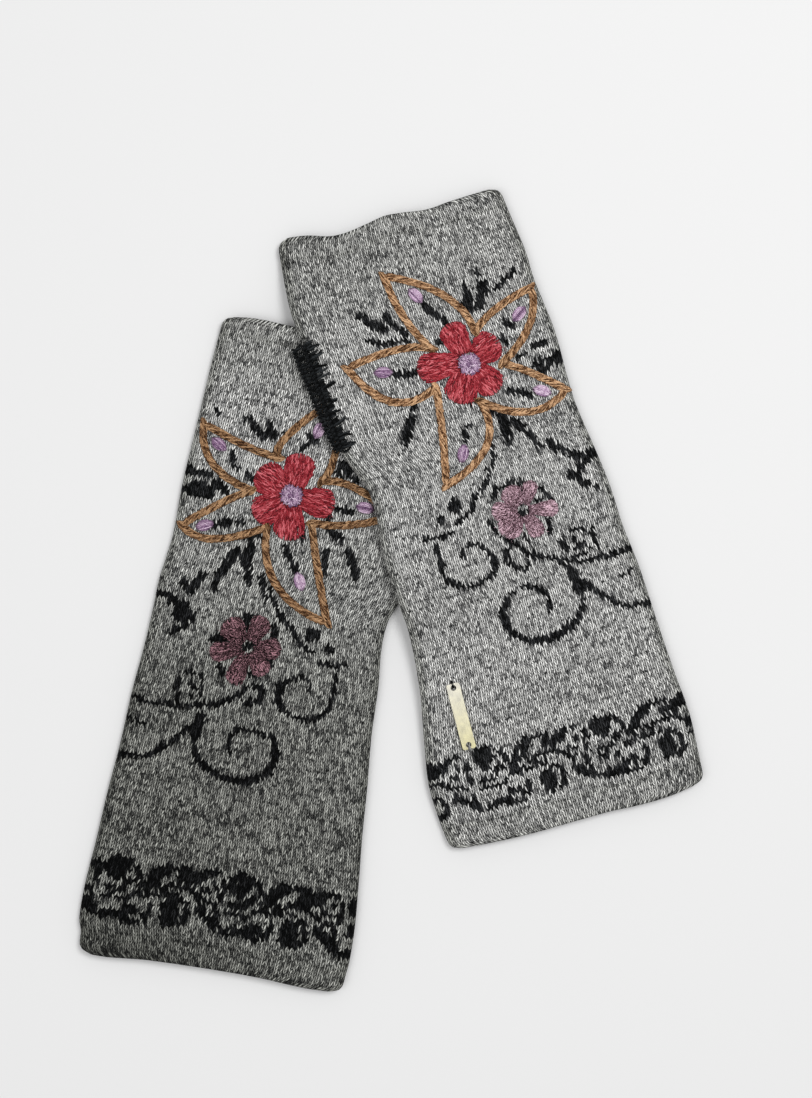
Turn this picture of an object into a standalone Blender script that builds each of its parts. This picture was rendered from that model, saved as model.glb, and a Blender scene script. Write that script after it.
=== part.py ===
"""A pair of knitted wrist warmers with wool embroidery, lying flat, the right one partly over the left.

Each warmer is one flattened tube of fine knit: a front wall and a back wall that are one cloth, folded
round at the sides, with a turned hem at both ends. The thumb slit is left open in the side seam, and
each of its lips has a crocheted edge. The flowers are worked in thick wool on the front wall, so each
is a thin raised solid made from the wall's own points. The right warmer carries a small brass bar.

Metres, +Z up. The origin is the middle of the pair's outline, on the surface that it lies on.
+Y runs from the wide forearm hems towards the knuckle hems. Tables and sizes are in millimetres.
"""

import math
from collections import namedtuple

import bmesh
import bpy
from mathutils import Matrix, Vector
from mathutils.bvhtree import BVHTree

MM = 0.001
CLEARANCE = 0.3            # between neighbouring solids
CORD_RESOLUTION = 1        # six sides round a cord

# ---- the cloth -------------------------------------------------------------------------------------
WALL = 1.6                 # one thickness of the knit
FOLD_GAP = 0.5             # between the front and the back wall at the side folds
PUFF = 0.7                 # how much further apart they stand in the middle
PUFF_FULLNESS = 0.7        # below 1, the cloth rises quickly from the folds and is flat in the middle
FOREARM_HEM = 9.0
KNUCKLE_HEM = 7.5
HEM_SWELL = 0.45           # a turned hem is thicker than the rest
HEM_FADE = 2.0             # over this distance
HEM_GROOVE = 0.3           # the sewn line above a hem is pulled in
GROOVE_WIDTH = 1.6
RIM = 1.0                  # the hem's rim is rounded over this distance
RIM_DROP = 0.5             # by this much
CORNER_RADIUS = 4.0        # of the hems' corners, seen from above
COLUMNS = 12               # segments across each wall
FOLD_STEPS = 4             # segments round each side fold
ROW_STEP = 13.0            # about the distance between two sections

# ---- the thumb slit --------------------------------------------------------------------------------
SLIT_LOW = 166.0           # up the warmer, from the forearm hem
SLIT_HIGH = 214.0
EDGE_CORD_RADIUS = 1.1     # the crocheted edge on each lip
LIPS_APART_LOW = 1.8       # the back lip's edge lies this much further out at the slit's lower end
LIPS_APART_HIGH = 3.6      # and this much at its upper end
EDGE_CORD_PROUD = 0.45     # the front lip's edge stands this much above the wall
EDGE_CORD_INSET = 1.6      # the edges stop this far from the slit's ends
EDGE_CORD_STEPS = 14

# ---- the embroidery --------------------------------------------------------------------------------
STITCH_HEIGHT = 1.2        # the satin stitches at their thickest
STITCH_RIM = 0.35          # and at their outline
FLOWER_NOTCH = 7.6         # least radius of the red flower, between two petals
CENTRE_RADIUS = 4.5        # the lilac button
CENTRE_HEIGHT = 1.9
OUTLINE_HALF_WIDTH = 1.3   # the chain-stitched line round the leaves
OUTLINE_NARROW = 0.6       # share of its width that the line keeps where it turns
LEAF_STEPS = 6             # stations along one side of a leaf
PLUM_NOTCH = 4.6
DOT_HALF_LENGTH = 3.6
DOT_HALF_WIDTH = 2.2

# ---- the brass bar ---------------------------------------------------------------------------------
BAR_MIDDLE = (-33.0, 52.6)  # on the right warmer, across and up
BAR_TURN = -2.1            # degrees from the warmer's own length
BAR_LENGTH = 27.0
BAR_WIDTH = 5.4
BAR_THICKNESS = 0.8
BAR_CORNER = 0.9
BAR_HOLE_RADIUS = 1.15
BAR_HOLE_INSET = 1.75      # from the bar's end to the hole's middle
TIE_RADIUS = 0.35
TIE_REACH = 1.6            # the tie goes into the cloth this far past the bar's end

# ---- how the right warmer climbs over the left -----------------------------------------------------
LIFT = 6.1                 # the left warmer's own height with its embroidery, and a little air
LIFT_RUN = 32.0            # the cloth comes down to the surface over this distance

Section = namedtuple("Section", "up left right")
EdgePoint = namedtuple("EdgePoint", "share rise")
Fold = namedtuple("Fold", "across up angle length width height")
# Directions are in degrees from the warmer's own cross direction, and reaches are from the flower's middle.
Petal = namedtuple("Petal", "angle reach half_width")
# A leaf's outline starts from a notch between two petals, swells through the near point, turns at the
# tip and comes back through the far point to the next leaf's notch. Its dot lies inside, near the tip.
Leaf = namedtuple(
    "Leaf",
    "notch_angle notch_reach near_angle near_reach tip_angle tip_reach far_angle far_reach"
    " dot_angle dot_reach",
)
Warmer = namedtuple(
    "Warmer",
    "name place turn length sections forearm_edge knuckle_edge folds slit_side flower petals leaves"
    " plum plum_petals",
)

RIGHT = Warmer(
    name="right",
    place=(75.3, -90.8),   # the middle of the forearm hem
    turn=17.1,             # degrees, anticlockwise
    length=252.0,
    sections=(
        Section(0, -52.6, 52.6), Section(12, -53.6, 53.8), Section(28, -53.6, 54.9),
        Section(46, -50.2, 54.0), Section(66, -45.9, 53.4), Section(90, -43.2, 52.9),
        Section(106, -43.9, 51.6), Section(124, -43.6, 51.3), Section(140, -41.7, 49.9),
        Section(151, -42.4, 48.6), Section(160, -46.0, 47.8), Section(170, -48.2, 47.8),
        Section(190, -49.4, 48.4), Section(212, -50.0, 46.6), Section(224, -50.6, 46.6),
        Section(240, -49.1, 45.0), Section(256, -46.9, 43.5),
    ),
    forearm_edge=(
        EdgePoint(0, 2.0), EdgePoint(0.07, 1.2), EdgePoint(0.17, 0.2), EdgePoint(0.3, -0.6),
        EdgePoint(0.5, -1.0), EdgePoint(0.64, -1.4), EdgePoint(0.74, -2.3), EdgePoint(0.88, -2.6),
        EdgePoint(1, -1.4),
    ),
    knuckle_edge=(
        EdgePoint(0, 4.0), EdgePoint(0.1, 2.4), EdgePoint(0.2, -0.5), EdgePoint(0.28, -1.1),
        EdgePoint(0.38, -0.3), EdgePoint(0.48, 0.8), EdgePoint(0.56, 0.0), EdgePoint(0.68, -1.7),
        EdgePoint(0.8, -1.3), EdgePoint(1, -1.2),
    ),
    folds=(
        Fold(-18, 246, 82, 16, 8, 0.7), Fold(8, 248, 96, 14, 7, 0.6), Fold(-30, 152, 24, 20, 6, 0.7),
        Fold(-28, 132, -12, 18, 7, 0.5), Fold(30, 60, 60, 34, 12, 0.4), Fold(-20, 44, 110, 26, 10, 0.4),
    ),
    slit_side=-1,
    flower=(11.0, 186.5),
    petals=(
        Petal(17, 15.5, 6.0), Petal(98, 17.5, 5.6), Petal(171.5, 20.5, 5.5), Petal(236, 17.0, 6.5),
        Petal(301, 16.5, 5.2),
    ),
    leaves=(
        Leaf(343, 13.5, 15, 29.0, 33.3, 39.6, 45.8, 24.4, 27, 28.6),
        Leaf(60, 12.5, 92, 28.5, 116.8, 48.4, 127.8, 31.0, 110.6, 34.2),
        Leaf(143, 15.0, 152.5, 28.2, 165.7, 48.2, 190.5, 33.8, 169.8, 34.0),
        Leaf(200, 16.0, 235, 32.3, 242.7, 49.8, 265.7, 33.6, 249.8, 36.2),
        Leaf(270, 15.6, 305.4, 31.4, 328.2, 40.6, 335.6, 24.2, 323, 31.7),
    ),
    plum=(15.0, 124.0),
    plum_petals=(
        Petal(50, 13.0, 3.9), Petal(105, 11.8, 3.9), Petal(155, 13.0, 4.1), Petal(219, 13.2, 4.1),
        Petal(280, 12.0, 4.0), Petal(348, 14.0, 4.1),
    ),
)

LEFT = Warmer(
    name="left",
    place=(-70.9, -153.2),
    turn=-10.7,
    length=260.0,
    sections=(
        Section(-3, -53.2, 51.4), Section(3, -54.9, 52.0), Section(8, -55.3, 52.4),
        Section(13, -56.9, 52.8), Section(26, -57.2, 52.5), Section(44, -56.1, 50.8),
        Section(64, -55.2, 48.6), Section(84, -53.8, 46.9), Section(104, -53.1, 44.8),
        Section(124, -51.6, 43.8), Section(140, -50.9, 42.2), Section(151, -50.7, 42.8),
        Section(160, -49.6, 46.0), Section(170, -48.5, 48.0), Section(190, -48.6, 49.3),
        Section(212, -47.5, 49.8), Section(224, -46.9, 50.4), Section(240, -46.1, 49.0),
        Section(262, -44.6, 46.8),
    ),
    forearm_edge=(
        EdgePoint(0, -1.7), EdgePoint(0.07, -1.5), EdgePoint(0.15, -0.6), EdgePoint(0.24, 0.4),
        EdgePoint(0.5, 1.5), EdgePoint(0.7, 1.7), EdgePoint(0.88, 1.0), EdgePoint(1, 1.4),
    ),
    knuckle_edge=(
        EdgePoint(0, -0.4), EdgePoint(0.1, 0.6), EdgePoint(0.25, 0.3), EdgePoint(0.5, -0.6),
        EdgePoint(0.75, 0.4), EdgePoint(1, 1.6),
    ),
    folds=(
        Fold(-22, 254, 80, 14, 8, 0.5), Fold(-30, 120, 30, 30, 10, 0.4), Fold(20, 52, 115, 34, 11, 0.4),
        Fold(-26, 36, 70, 26, 10, 0.35),
    ),
    slit_side=1,
    flower=(-4.7, 193.5),
    petals=(
        Petal(357, 17.5, 5.5), Petal(86, 17.5, 6.0), Petal(150, 17.0, 6.5), Petal(214, 17.5, 6.0),
        Petal(276, 18.0, 6.5),
    ),
    leaves=(
        Leaf(318, 13.4, 343.7, 25.7, 3.6, 39.6, 22.9, 25.7, 1.9, 30.2),
        Leaf(36, 13.0, 55.3, 25.0, 74.6, 44.0, 103.9, 24.2, 77.5, 28.7),
        Leaf(118, 15.6, 143.5, 27.7, 150.8, 45.4, 168.1, 34.0, 155.1, 35.6),
        Leaf(183, 15.6, 195.9, 27.3, 205.3, 45.2, 219.4, 35.6, 209.4, 36.6),
        Leaf(243, 15.6, 271.2, 36.0, 296.5, 53.0, 305, 28.7, 286.5, 34.4),
    ),
    plum=(-10.5, 131.0),
    plum_petals=(
        Petal(8, 14.0, 4.2), Petal(66, 13.5, 3.9), Petal(133, 14.3, 4.4), Petal(203, 15.0, 4.2),
        Petal(256, 14.2, 4.0), Petal(313, 12.8, 4.2),
    ),
)

COLOURS = {
    "knit": ((0.22, 0.22, 0.21), 0.95, 0.0),
    "black_wool": ((0.012, 0.013, 0.014), 0.95, 0.0),
    "red_wool": ((0.36, 0.05, 0.06), 0.9, 0.0),
    "plum_wool": ((0.17, 0.09, 0.12), 0.9, 0.0),
    "lilac_wool": ((0.40, 0.26, 0.46), 0.9, 0.0),
    "ochre_wool": ((0.30, 0.16, 0.07), 0.9, 0.0),
    "brass": ((0.75, 0.68, 0.42), 0.3, 1.0),
    "grey_thread": ((0.16, 0.16, 0.15), 0.9, 0.0),
}


# ---- curves through the tables ---------------------------------------------------------------------
def smooth_through(xs, ys, x):
    """The height at x of a smooth curve through the points (xs, ys), with no overshoot at its ends."""
    if x <= xs[0]:
        return ys[0]
    if x >= xs[-1]:
        return ys[-1]
    i = next(k for k in range(len(xs) - 1) if x <= xs[k + 1])

    def slope(k):
        a, b = max(k - 1, 0), min(k + 1, len(xs) - 1)
        return (ys[b] - ys[a]) / (xs[b] - xs[a])

    step = xs[i + 1] - xs[i]
    t = (x - xs[i]) / step
    rise = ys[i + 1] - ys[i]
    from_start = step * slope(i) - rise
    from_end = rise - step * slope(i + 1)
    return ys[i] + t * rise + t * (1 - t) * ((1 - t) * from_start + t * from_end)


def smooth_step(x):
    x = min(1.0, max(0.0, x))
    return x * x * (3 - 2 * x)


# ---- a warmer's own frame: across, up the warmer, and height ----------------------------------------
def to_row(warmer, across, up):
    """The row's x and y, in millimetres, of a point of the warmer."""
    c, s = math.cos(math.radians(warmer.turn)), math.sin(math.radians(warmer.turn))
    x0, y0 = warmer.place
    return x0 + c * across - s * up, y0 + s * across + c * up


def from_row(warmer, x, y):
    c, s = math.cos(math.radians(warmer.turn)), math.sin(math.radians(warmer.turn))
    dx, dy = x - warmer.place[0], y - warmer.place[1]
    return c * dx + s * dy, -s * dx + c * dy


def side_edges(warmer, up):
    ups = [s.up for s in warmer.sections]
    left = smooth_through(ups, [s.left for s in warmer.sections], up)
    right = smooth_through(ups, [s.right for s in warmer.sections], up)
    return left, right


def hem_line(points, share):
    return smooth_through([p.share for p in points], [p.rise for p in points], share)


def corner_inset(warmer, up):
    """How far a side is drawn in near a hem, which gives the hem its round corners."""
    from_hem = min(up, warmer.length - up)
    if from_hem >= CORNER_RADIUS:
        return 0.0
    return CORNER_RADIUS - math.sqrt(CORNER_RADIUS**2 - (CORNER_RADIUS - from_hem) ** 2)


def lift_under(x, y):
    """The height to which the left warmer raises what lies over it, at a point of the row."""
    across, up = from_row(LEFT, x, y)
    left, right = side_edges(LEFT, up)
    out_right = smooth_step((right + LIFT_RUN - across) / LIFT_RUN)
    out_left = smooth_step((across - left + LIFT_RUN) / LIFT_RUN)
    out_top = smooth_step((LEFT.length + LIFT_RUN - up) / LIFT_RUN)
    out_bottom = smooth_step((up + LIFT_RUN) / LIFT_RUN)
    return LIFT * out_right * out_left * out_top * out_bottom


def base_height(warmer, x, y):
    return lift_under(x, y) if warmer is RIGHT else 0.0


def hem_profile(warmer, up):
    """What the turned hems and their sewn lines add to the front wall's height."""
    from_top = warmer.length - up
    added = 0.0
    for distance, hem in ((up, FOREARM_HEM), (from_top, KNUCKLE_HEM)):
        added += HEM_SWELL * smooth_step((hem - distance) / HEM_FADE)
        added -= HEM_GROOVE * math.exp(-(((distance - hem) / GROOVE_WIDTH) ** 2))
        added -= RIM_DROP * (1 - smooth_step(distance / RIM))
    return added


def fold_height(warmer, across, up):
    """The soft folds: each is a low ridge with round ends."""
    total = 0.0
    for fold in warmer.folds:
        c, s = math.cos(math.radians(fold.angle)), math.sin(math.radians(fold.angle))
        dx, dy = across - fold.across, up - fold.up
        along, aside = c * dx + s * dy, -s * dx + c * dy
        total += fold.height * math.exp(-((along / fold.length) ** 2) - (aside / fold.width) ** 2)
    return total


# ---- the tube --------------------------------------------------------------------------------------
def spaced(start, end):
    """Stations from start up to end, without the end itself."""
    count = max(1, round((end - start) / ROW_STEP))
    return [start + (end - start) * k / count for k in range(count)]


def row_heights(warmer):
    """Stations up the warmer: close together at the hems, and exactly at the ends of the slit."""
    top = warmer.length
    rows = [0.0, RIM, FOREARM_HEM - HEM_FADE, FOREARM_HEM]
    rows += spaced(FOREARM_HEM + HEM_FADE, SLIT_LOW)
    rows += spaced(SLIT_LOW, SLIT_HIGH)
    rows += spaced(SLIT_HIGH, top - KNUCKLE_HEM - HEM_FADE)
    rows += [top - KNUCKLE_HEM - HEM_FADE, top - KNUCKLE_HEM, top - KNUCKLE_HEM + HEM_FADE]
    return rows + [top - RIM, top]


def ring(warmer, up, inner):
    """One section of the tube as (x, y, z): the front wall, the right fold, the back wall, the left fold."""
    inset = corner_inset(warmer, up)
    left, right = side_edges(warmer, up)
    left, right = left + inset, right - inset
    height = 2 * WALL + FOLD_GAP + hem_profile(warmer, up)
    radius = height / 2
    bend = (height - 2 * WALL) / 2 if inner else radius
    low = WALL if inner else 0.0
    first, last = left + radius, right - radius

    def front(across):
        room = max(0.0, math.sin(math.pi * (across - first) / (last - first))) ** PUFF_FULLNESS
        puff = (PUFF + fold_height(warmer, across, up)) * room
        return height + puff - (WALL if inner else 0.0)

    stations = [first + (last - first) * k / COLUMNS for k in range(COLUMNS + 1)]
    turns = [math.pi * k / FOLD_STEPS for k in range(1, FOLD_STEPS)]
    points = [(a, front(a)) for a in stations]
    points += [(last + bend * math.sin(t), radius + bend * math.cos(t)) for t in turns]
    points += [(a, low) for a in reversed(stations)]
    points += [(first - bend * math.sin(t), radius - bend * math.cos(t)) for t in turns]

    share_up = up / warmer.length
    placed = []
    for across, z in points:
        share = (across - left) / (right - left)
        shift = hem_line(warmer.forearm_edge, share) * (1 - share_up) ** 3   # fades away from the hem
        shift += hem_line(warmer.knuckle_edge, share) * share_up**3
        x, y = to_row(warmer, across, up + shift)
        placed.append((x, y, z + base_height(warmer, x, y)))
    return placed


def tube_mesh(warmer):
    """Vertices and faces of the tube: an outer and an inner skin, joined at the rims and round the slit."""
    rows = row_heights(warmer)
    outer = [ring(warmer, up, inner=False) for up in rows]
    inner = [ring(warmer, up, inner=True) for up in rows]
    around = len(outer[0])
    skin = len(rows) * around
    vertices = [p for section in outer + inner for p in section]

    right_fold = range(COLUMNS, COLUMNS + FOLD_STEPS)
    left_fold = range(2 * COLUMNS + FOLD_STEPS, around)
    open_segments = right_fold if warmer.slit_side > 0 else left_fold
    low_row, high_row = rows.index(SLIT_LOW), rows.index(SLIT_HIGH)

    def index(row, k):
        return row * around + k % around

    def is_open(row, k):
        return low_row <= row < high_row and k % around in open_segments

    faces = []
    for row in range(len(rows) - 1):
        for k in range(around):
            if is_open(row, k):
                continue
            a, b = index(row, k), index(row, k + 1)
            c, d = index(row + 1, k + 1), index(row + 1, k)
            faces.append((d, c, b, a))
            faces.append((a + skin, b + skin, c + skin, d + skin))
            if is_open(row, k + 1):
                faces.append((b, c, c + skin, b + skin))
            if is_open(row, k - 1):
                faces.append((d, a, a + skin, d + skin))
    last = len(rows) - 1
    for k in range(around):
        for row, flip in ((0, False), (last, True), (low_row, True), (high_row, False)):
            if row in (low_row, high_row) and k not in open_segments:
                continue
            a, b = index(row, k), index(row, k + 1)
            face = (a, b, b + skin, a + skin)
            faces.append(face[::-1] if flip else face)
    return vertices, faces


def mesh_object(name, vertices, faces, material):
    mesh = bpy.data.meshes.new(name)
    mesh.from_pydata([tuple(c * MM for c in v) for v in vertices], [], faces)
    box = bmesh.new()
    box.from_mesh(mesh)
    bmesh.ops.recalc_face_normals(box, faces=box.faces)
    box.to_mesh(mesh)
    box.free()
    mesh.shade_smooth()
    mesh.set_sharp_from_angle(angle=math.radians(50))
    obj = bpy.data.objects.new(name, mesh)
    collection.objects.link(obj)
    mesh.materials.append(materials[material])
    return obj


# ---- pieces that lie on the front wall --------------------------------------------------------------
class FrontWall:
    """Finds the front wall's surface under a point, from the tube's own faces."""

    def __init__(self, warmer, tube):
        self.warmer = warmer
        tube.data.calc_loop_triangles()
        points = [v.co.copy() for v in tube.data.vertices]
        triangles = [tuple(t.vertices) for t in tube.data.loop_triangles]
        self.tree = BVHTree.FromPolygons(points, triangles)

    def point(self, across, up, out):
        """The row point that lies out millimetres above the wall."""
        x, y = to_row(self.warmer, across, up)
        hit = self.tree.ray_cast(Vector((x * MM, y * MM, 0.1)), Vector((0, 0, -1)))[0]
        return x, y, hit.z / MM + out


def petalled(petals, notch):
    """The radius of a flower as a function of the direction: each petal ends in a round tip."""

    def radius(direction):
        longest = notch
        for petal in petals:
            turned = math.radians(direction - petal.angle)
            to_middle = petal.reach - petal.half_width
            inside = petal.half_width**2 - (to_middle * math.sin(turned)) ** 2
            if inside > 0 and math.cos(turned) > 0:
                longest = max(longest, to_middle * math.cos(turned) + math.sqrt(inside))
        return longest

    return radius


def oval(half_length, half_width, angle):
    def radius(direction):
        turned = math.radians(direction - angle)
        return 1 / math.hypot(math.cos(turned) / half_length, math.sin(turned) / half_width)

    return radius


def dome(share):
    """The height of a filled patch, as a share, from its middle (0) to its outline (1)."""
    return 1 - share**2.5


def cushion_ring(share):
    """The height of a patch with a hole: three quarters at the hole, full, then down to the outline."""
    return max(0.0, math.sin(math.pi * (0.25 + 0.75 * share))) ** 0.6


def raised_patch(name, wall, middle, radius, height, material, sectors, rings, hole=0.0):
    """A thin domed solid on the front wall, from a hole (or a point) in the middle out to its outline."""
    profile = cushion_ring if hole else dome
    top, bottom = [], []
    for q in range(rings + 1):
        share = q / rings
        rise = STITCH_RIM + (height - STITCH_RIM) * profile(share)
        for k in range(sectors):
            direction = 360 * k / sectors
            offset = polar(direction, hole + (radius(direction) - hole) * share)
            across, up = middle[0] + offset.x, middle[1] + offset.y
            bottom.append(wall.point(across, up, CLEARANCE))
            top.append(wall.point(across, up, CLEARANCE + rise))
    vertices = top + bottom
    under = len(top)
    outer = rings * sectors
    faces = []
    for k in range(sectors):
        after = (k + 1) % sectors
        for q in range(rings):
            a, b = q * sectors + k, q * sectors + after
            c, d = a + sectors, b + sectors
            faces.append((a, c, d, b))
            faces.append((a + under, b + under, d + under, c + under))
        faces.append((outer + k, outer + k + under, outer + after + under, outer + after))
        if hole:
            faces.append((after, after + under, k + under, k))
    if not hole:
        vertices, faces = close_middle(vertices, faces, sectors, under)
    return mesh_object(name, vertices, faces, material)


def close_middle(vertices, faces, sectors, under):
    """Joins the innermost ring, whose points all lie at the middle, into one point above and one below."""
    above, below = vertices[0], vertices[under]
    kept = vertices[sectors:under] + vertices[under + sectors :] + [above, below]
    shift = under - sectors

    def new_index(old):
        if old < sectors:
            return len(kept) - 2
        if old < under:
            return old - sectors
        if old < under + sectors:
            return len(kept) - 1
        return old - under - sectors + shift

    cleaned = []
    for face in faces:
        ids = []
        for old in face:
            if new_index(old) not in ids:
                ids.append(new_index(old))
        cleaned.append(tuple(ids))
    return kept, cleaned


def polar(angle, reach):
    return Vector((reach * math.cos(math.radians(angle)), reach * math.sin(math.radians(angle))))


def arc_through(start, belly, end, steps):
    """Points of the parabola through three places, from the first one on and without the last one."""
    control = belly * 2 - (start + end) / 2
    points = []
    for k in range(steps):
        t = k / steps
        points.append(start * (1 - t) ** 2 + control * 2 * t * (1 - t) + end * t**2)
    return points


def leaf_loop(warmer):
    """The line round all the leaves: from each notch out to the tip, and back to the next notch."""
    loop = []
    for k, leaf in enumerate(warmer.leaves):
        after = warmer.leaves[(k + 1) % len(warmer.leaves)]
        notch = polar(leaf.notch_angle, leaf.notch_reach)
        next_notch = polar(after.notch_angle, after.notch_reach)
        tip = polar(leaf.tip_angle, leaf.tip_reach)
        loop += arc_through(notch, polar(leaf.near_angle, leaf.near_reach), tip, LEAF_STEPS)
        loop += arc_through(tip, polar(leaf.far_angle, leaf.far_reach), next_notch, LEAF_STEPS)
    x0, y0 = warmer.flower
    return [(x0 + p.x, y0 + p.y) for p in loop]


def swept_loop(name, wall, loop, half_width, height, material):
    """A closed line of embroidery on the wall: flat below and round above."""
    section = [(-1.0, 0.0), (-0.8, 0.6), (0.0, 1.0), (0.8, 0.6), (1.0, 0.0)]
    count = len(loop)
    vertices = []
    for k in range(count):
        before, after = Vector(loop[k - 1]), Vector(loop[(k + 1) % count])
        along = (after - before).normalized()
        aside = Vector((-along.y, along.x))
        share = OUTLINE_NARROW if k % LEAF_STEPS == 0 else 1.0
        for side, rise in section:
            at = Vector(loop[k]) + aside * side * half_width * share
            vertices.append(wall.point(at.x, at.y, CLEARANCE + rise * height))
    faces = []
    size = len(section)
    for k in range(count):
        for j in range(size):
            a, b = k * size + j, k * size + (j + 1) % size
            c, d = ((k + 1) % count) * size + (j + 1) % size, ((k + 1) % count) * size + j
            faces.append((a, b, c, d))
    return mesh_object(name, vertices, faces, material)


def embroidery(warmer, wall):
    name = warmer.name
    raised_patch(
        f"{name}_red_flower", wall, warmer.flower, petalled(warmer.petals, FLOWER_NOTCH),
        STITCH_HEIGHT, "red_wool", sectors=60, rings=3, hole=CENTRE_RADIUS + CLEARANCE,
    )
    raised_patch(
        f"{name}_flower_centre", wall, warmer.flower, oval(CENTRE_RADIUS, CENTRE_RADIUS, 0),
        CENTRE_HEIGHT, "lilac_wool", sectors=14, rings=3,
    )
    raised_patch(
        f"{name}_plum_flower", wall, warmer.plum, petalled(warmer.plum_petals, PLUM_NOTCH),
        STITCH_HEIGHT, "plum_wool", sectors=60, rings=3,
    )
    swept_loop(
        f"{name}_leaf_outline", wall, leaf_loop(warmer), OUTLINE_HALF_WIDTH, STITCH_HEIGHT, "ochre_wool"
    )
    for number, leaf in enumerate(warmer.leaves, start=1):
        offset = polar(leaf.dot_angle, leaf.dot_reach)
        middle = (warmer.flower[0] + offset.x, warmer.flower[1] + offset.y)
        raised_patch(
            f"{name}_lilac_dot_{number}", wall, middle,
            oval(DOT_HALF_LENGTH, DOT_HALF_WIDTH, leaf.tip_angle),
            STITCH_HEIGHT, "lilac_wool", sectors=10, rings=2,
        )


# ---- the crocheted edges of the thumb slit -----------------------------------------------------------
def round_cord(name, points, radius, material):
    curve = bpy.data.curves.new(name, "CURVE")
    curve.dimensions = "3D"
    curve.bevel_depth = radius * MM
    curve.bevel_resolution = CORD_RESOLUTION
    curve.use_fill_caps = True
    spline = curve.splines.new("POLY")
    spline.points.add(len(points) - 1)
    for spot, point in zip(spline.points, points):
        spot.co = (*(c * MM for c in point), 1)
    obj = bpy.data.objects.new(name, curve)
    collection.objects.link(obj)
    curve.materials.append(materials[material])
    return obj


def thumb_edges(warmer):
    """A cord of crochet along each lip of the slit, the back one lying further out than the front one."""
    height = 2 * WALL + FOLD_GAP
    start, end = SLIT_LOW + EDGE_CORD_INSET, SLIT_HIGH - EDGE_CORD_INSET
    for lip in ("front", "back"):
        points = []
        for k in range(EDGE_CORD_STEPS + 1):
            t = k / EDGE_CORD_STEPS
            up = start + (end - start) * t
            edge = side_edges(warmer, up)[0 if warmer.slit_side < 0 else 1]
            out = CLEARANCE + EDGE_CORD_RADIUS
            if lip == "back":
                out += LIPS_APART_LOW + (LIPS_APART_HIGH - LIPS_APART_LOW) * t
            across = edge - warmer.slit_side * height / 2 + warmer.slit_side * out
            x, y = to_row(warmer, across, up)
            z = EDGE_CORD_RADIUS
            if lip == "front":
                z = height - EDGE_CORD_RADIUS + EDGE_CORD_PROUD
            points.append((x, y, z + base_height(warmer, x, y)))
        round_cord(f"{warmer.name}_thumb_edge_{lip}", points, EDGE_CORD_RADIUS, "black_wool")


# ---- the brass bar and its two ties ------------------------------------------------------------------
def bar_frame(wall):
    """The bar's middle and its three directions, from the wall under its two ends and its two sides."""
    lean = math.radians(BAR_TURN)
    along = Vector((-math.sin(lean), math.cos(lean)))
    aside = Vector((along.y, -along.x))
    middle = Vector(BAR_MIDDLE)

    def at(offset):
        spot = middle + offset
        return Vector(wall.point(spot.x, spot.y, 0.0))

    forward = (at(along * BAR_LENGTH / 2) - at(along * -BAR_LENGTH / 2)).normalized()
    across = (at(aside * BAR_WIDTH / 2) - at(aside * -BAR_WIDTH / 2)).normalized()
    normal = across.cross(forward).normalized()
    across = forward.cross(normal)
    clear = 0.0
    base = at(Vector((0, 0)))
    for i in range(9):
        for side in (-1, 0, 1):
            spot = at(along * BAR_LENGTH * (i / 8 - 0.5) + aside * side * BAR_WIDTH / 2)
            clear = max(clear, (spot - base).dot(normal))
    return base + normal * (clear + CLEARANCE), across, forward, normal


def brass_bar(wall):
    base, across, forward, normal = bar_frame(wall)
    shape = bmesh.new()
    bmesh.ops.create_cube(shape, size=1.0)
    bmesh.ops.scale(shape, vec=Vector((BAR_WIDTH, BAR_LENGTH, BAR_THICKNESS)) * MM, verts=shape.verts)
    upright = [
        e for e in shape.edges if abs(e.verts[0].co.z - e.verts[1].co.z) > BAR_THICKNESS * MM / 2
    ]
    bmesh.ops.bevel(
        shape, geom=upright, offset=BAR_CORNER * MM, segments=3, affect="EDGES", profile=0.5
    )
    mesh = bpy.data.meshes.new("brass_bar")
    shape.to_mesh(mesh)
    shape.free()
    bar = bpy.data.objects.new("brass_bar", mesh)
    collection.objects.link(bar)
    mesh.materials.append(materials["brass"])
    middle = base + normal * BAR_THICKNESS / 2
    for end in (-1, 1):
        hole = cylinder_cutter(f"bar_hole_{end}", end * (BAR_LENGTH / 2 - BAR_HOLE_INSET))
        cut = bar.modifiers.new(f"hole_{end}", "BOOLEAN")
        cut.operation = "DIFFERENCE"
        cut.object = hole
        hole.parent = bar
    place = Matrix((across, forward, normal)).transposed().to_4x4()
    place.translation = middle * MM
    bar.matrix_world = place
    tie("low", "grey_thread", -1, base, forward, normal, wall)
    tie("high", "black_wool", 1, base, forward, normal, wall)


def cylinder_cutter(name, along):
    shape = bmesh.new()
    bmesh.ops.create_cone(
        shape, cap_ends=True, segments=20, radius1=BAR_HOLE_RADIUS * MM, radius2=BAR_HOLE_RADIUS * MM,
        depth=BAR_THICKNESS * 3 * MM,
    )
    bmesh.ops.translate(shape, vec=Vector((0, along * MM, 0)), verts=shape.verts)
    mesh = bpy.data.meshes.new(name)
    shape.to_mesh(mesh)
    shape.free()
    cutter = bpy.data.objects.new(name, mesh)
    cutter.hide_render = True
    cutter.display_type = "WIRE"
    cutters.objects.link(cutter)
    return cutter


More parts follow.
